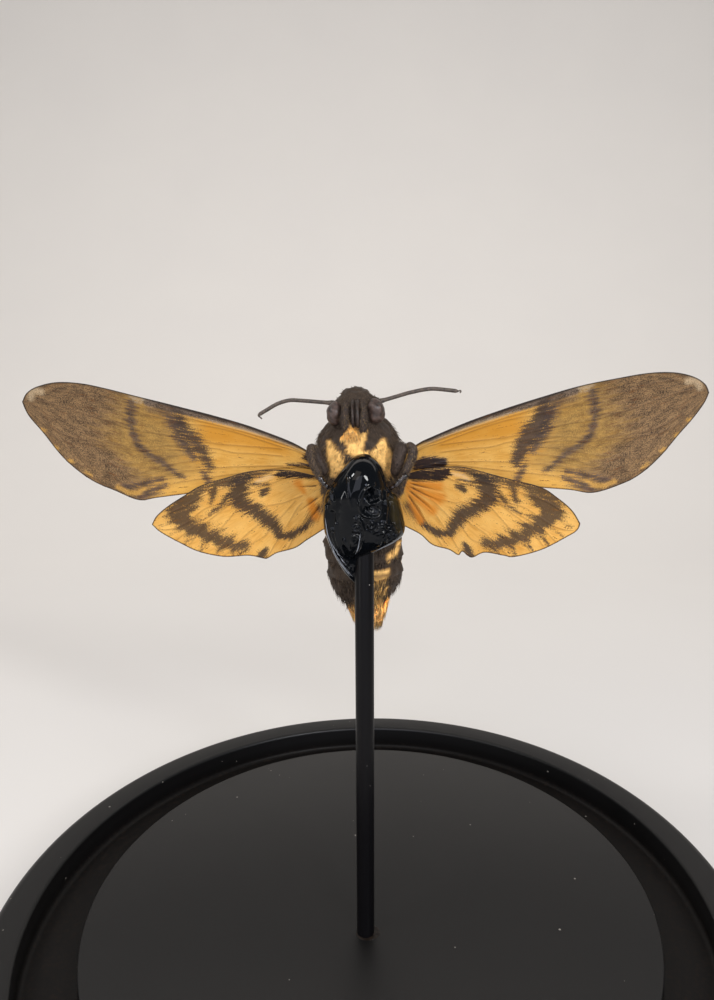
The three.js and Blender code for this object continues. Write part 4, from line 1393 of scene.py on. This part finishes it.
def buildGlue():
    # a sphere drawn out to the levels, then pulled into strands, dented and crumpled
    bm = bmesh.new()
    bmesh.ops.create_uvsphere(bm, u_segments=glue["segments"], v_segments=glue["rings"], radius=1)
    levels = np.array(glue["levels"])
    top, bottom = levels[0, 0], levels[-1, 0]
    fine = smoothLine(levels, 8)
    fine = fine[np.argsort(-fine[:, 0])]
    co = np.array([v.co for v in bm.verts])
    height = top + (bottom - top) * (1 - co[:, 2]) / 2
    left, right, front, back = (np.interp(height, fine[::-1, 0], fine[::-1, i])
                                for i in (1, 2, 3, 4))
    # the poles stay points
    around = unit(co[:, :2] + 1e-9) * np.where(np.abs(co[:, 2]) > 1 - 1e-6, 0.0, 1.0)[:, None]
    shaped = np.stack([(left + right) / 2 + around[:, 0] * (right - left) / 2,
                       (front + back) / 2 + around[:, 1] * (back - front) / 2, height], axis=1)
    for v, place in zip(bm.verts, shaped):
        v.co = place
    for _ in range(glue["smoothings"]):
        bmesh.ops.smooth_vert(bm, verts=bm.verts, factor=0.5, use_axis_x=True, use_axis_y=True,
                              use_axis_z=True)
    bm.normal_update()
    flat = np.array([(v.co.x, v.co.z) for v in bm.verts])
    facing = smoothStep(-0.1, 0.35, np.array([-v.normal.y for v in bm.verts]))
    rise = np.zeros(len(flat))
    for line, size in glue["ridges"]:
        far, width = lineDistance(flat, smoothLine(line, 6))
        rise += size * np.exp(-(far / np.maximum(width * 0.5, 0.05)) ** 2)
    for line, size in glue["dents"]:
        far, width = lineDistance(flat, line)
        rise -= size * np.exp(-(far / (width * 0.5)) ** 4)
    for line, size in glue["crumples"]:
        inside = patchField(flat, [line], 0.35)
        for i in np.nonzero(inside > 0.01)[0]:
            p = Vector(shaped[i] / glue["crumpleSize"])
            folds = 1 - 2.4 * abs(noise.noise(p)) + 0.35 * noise.noise(p * 2.1)
            rise[i] += inside[i] * size * 0.6 * folds
    for v, amount, share in zip(bm.verts, rise, facing):
        v.co += v.normal * float(amount * share)
    # marks the threads, which take the pale grey that is partly a painted highlight
    threadGlint = bm.verts.layers.float.new("threadGlint")
    skin = BVHTree.FromBMesh(bm)
    for line in glue["threads"]:
        line = smoothLine(line, 8)
        laid = [skin.ray_cast(Vector((x, -30, z)), Vector((0, 1, 0)))[0] for x, z in line]
        laid = [at for at in laid if at]
        thin = np.sin(np.linspace(0.25, math.pi - 0.25, len(laid))) * glue["threadRadius"]
        for v in sweepTube(bm, laid, thin, 8):
            v[threadGlint] = 1
    flat = np.array([(v.co.x, v.co.z) for v in bm.verts])
    paintLayers(bm, {"film": patchField(flat, glue["film"], glue["filmFade"])})
    bmesh.ops.recalc_face_normals(bm, faces=bm.faces)
    placePiece("glue_blob_set", bm, [glueFinish()], "black_glue", "glue_blob")


def buildResidue():
    # a low, ragged smear of glue where the rod enters the base
    bm = bmesh.new()
    x, y = (a + b for a, b in zip(rod["axis"], residue["beside"]))
    verts = addBall(bm, (x, y, base["discTop"]), residue["half"], 4)
    roughen(bm, verts, *residue["lumps"], residue["seed"])
    bmesh.ops.scale(bm, vec=(mm, mm, mm), verts=bm.verts)
    # dried glue with dust in it: brown-black, half matt
    dusty = simpleSkin("driedGlueResidue", {
        "shader": {"Roughness": 0.5, "IOR": 1.5, "Specular IOR Level": 0.25}, "low": "#080605",
        "high": "#21170f", "grain": 0.6, "pebble": 0.3, "bump": 0.5})
    addPiece("rod_foot_residue", bm, [dusty], "black_glue")


buildGlue()
buildResidue()
print("glue built")


studio = {
    "floor": "#e3e0dd", "floorPale": "#e8e5e1",
    # in metres: the clouds in the paper, then its size
    "mottle": 0.08, "width": 3.2, "front": -1.6, "back": 0.75, "curve": 0.5, "height": 2.6,
    "world": "#dfe4ea", "worldStrength": 0.28,
}
# name: place in mm, the point it faces, size in mm, power in watts, colour, roll in degrees
lamps = {
    "softboxAbove": ((-260, -410, 600), (0, 0, 90), (420, 340), 0.84, "#fff2e2", 0),
    "windowFront": ((-80, -515, 270), (0, 0, 90), (300, 430), 1.06, "#ebeeff", 0),
    "smallLeft": ((-204, -103, 303), (0, -10, 98), (36, 42), 0.23, "#ffffff", 0),
    "stripRight": ((140, -232, 238), (0, -10, 98), (130, 34), 0.58, "#ffffff", -43),
    "stripLeft": ((-240, -170, 95), (0, -10, 92), (14, 140), 0.11, "#ffffff", 0),
    "stripLow": ((150, -250, 118), (0, -10, 92), (34, 70), 0.09, "#dfe6ff", 20),
    "wallWash": ((0, 260, 480), (0, 680, -140), (1400, 300), 2.42, "#fff8f0", 0),
}


def buildStudio():
    bm = bmesh.new()
    profile = [(studio["front"], 0), (studio["back"] - studio["curve"], 0)]
    corner = (studio["back"] - studio["curve"], studio["curve"])
    profile += arcPoints(corner, studio["curve"], -90, 0, 16)[1:]
    profile.append((studio["back"], studio["height"]))
    half = studio["width"] / 2
    verts = [bm.verts.new((-half, y, z)) for y, z in profile]
    edges = [bm.edges.new(pair) for pair in zip(verts, verts[1:])]
    made = bmesh.ops.extrude_edge_only(bm, edges=edges)["geom"]
    bmesh.ops.translate(bm, vec=(studio["width"], 0, 0),
                        verts=[g for g in made if isinstance(g, bmesh.types.BMVert)])
    bmesh.ops.recalc_face_normals(bm, faces=bm.faces)
    # matt pale paper with the faintest mottling
    paper, tree = newMaterial("mattPaleBackdropPaper", {"Roughness": 0.9})
    place = addNode(tree, "TexCoord", output="Object")
    mottle = addNode(tree, "TexNoise", {"Vector": place, "Scale": 1 / studio["mottle"],
                                        "Detail": 3}, 0)
    tint = addNode(tree, "Mix", {0: mottle, 6: studio["floor"], 7: studio["floorPale"]}, 2,
                   data_type="RGBA")
    linkShader(paper, {"Base Color": tint})
    mesh = bpy.data.meshes.new("backdrop")
    bm.to_mesh(mesh)
    bm.free()
    mesh.shade_smooth()
    mesh.materials.append(paper)
    backdrop = bpy.data.objects.new("backdrop", mesh)
    scene.collection.objects.link(backdrop)


def addLamps():
    for name, (place, target, size, power, colour, roll) in lamps.items():
        data = bpy.data.lights.new(name, "AREA")
        data.shape = "RECTANGLE"
        data.size, data.size_y = size[0] * mm, size[1] * mm
        data.energy = power
        data.color = linearColour(colour)[:3]
        lamp = bpy.data.objects.new(name, data)
        lamp.location = Vector(place) * mm
        aim = (Vector(target) - Vector(place)).to_track_quat("-Z", "Y").to_matrix()
        lamp.rotation_euler = (aim @ Matrix.Rotation(math.radians(roll), 3, "Z")).to_euler()
        scene.collection.objects.link(lamp)
    world = bpy.data.worlds.new("softDaylight")
    world.use_nodes = True
    sky = world.node_tree.nodes["Background"]
    sky.inputs["Color"].default_value = linearColour(studio["world"])
    sky.inputs["Strength"].default_value = studio["worldStrength"]
    scene.world = world
    scene.view_settings.view_transform = "Standard"


buildStudio()
addLamps()
print("studio set")
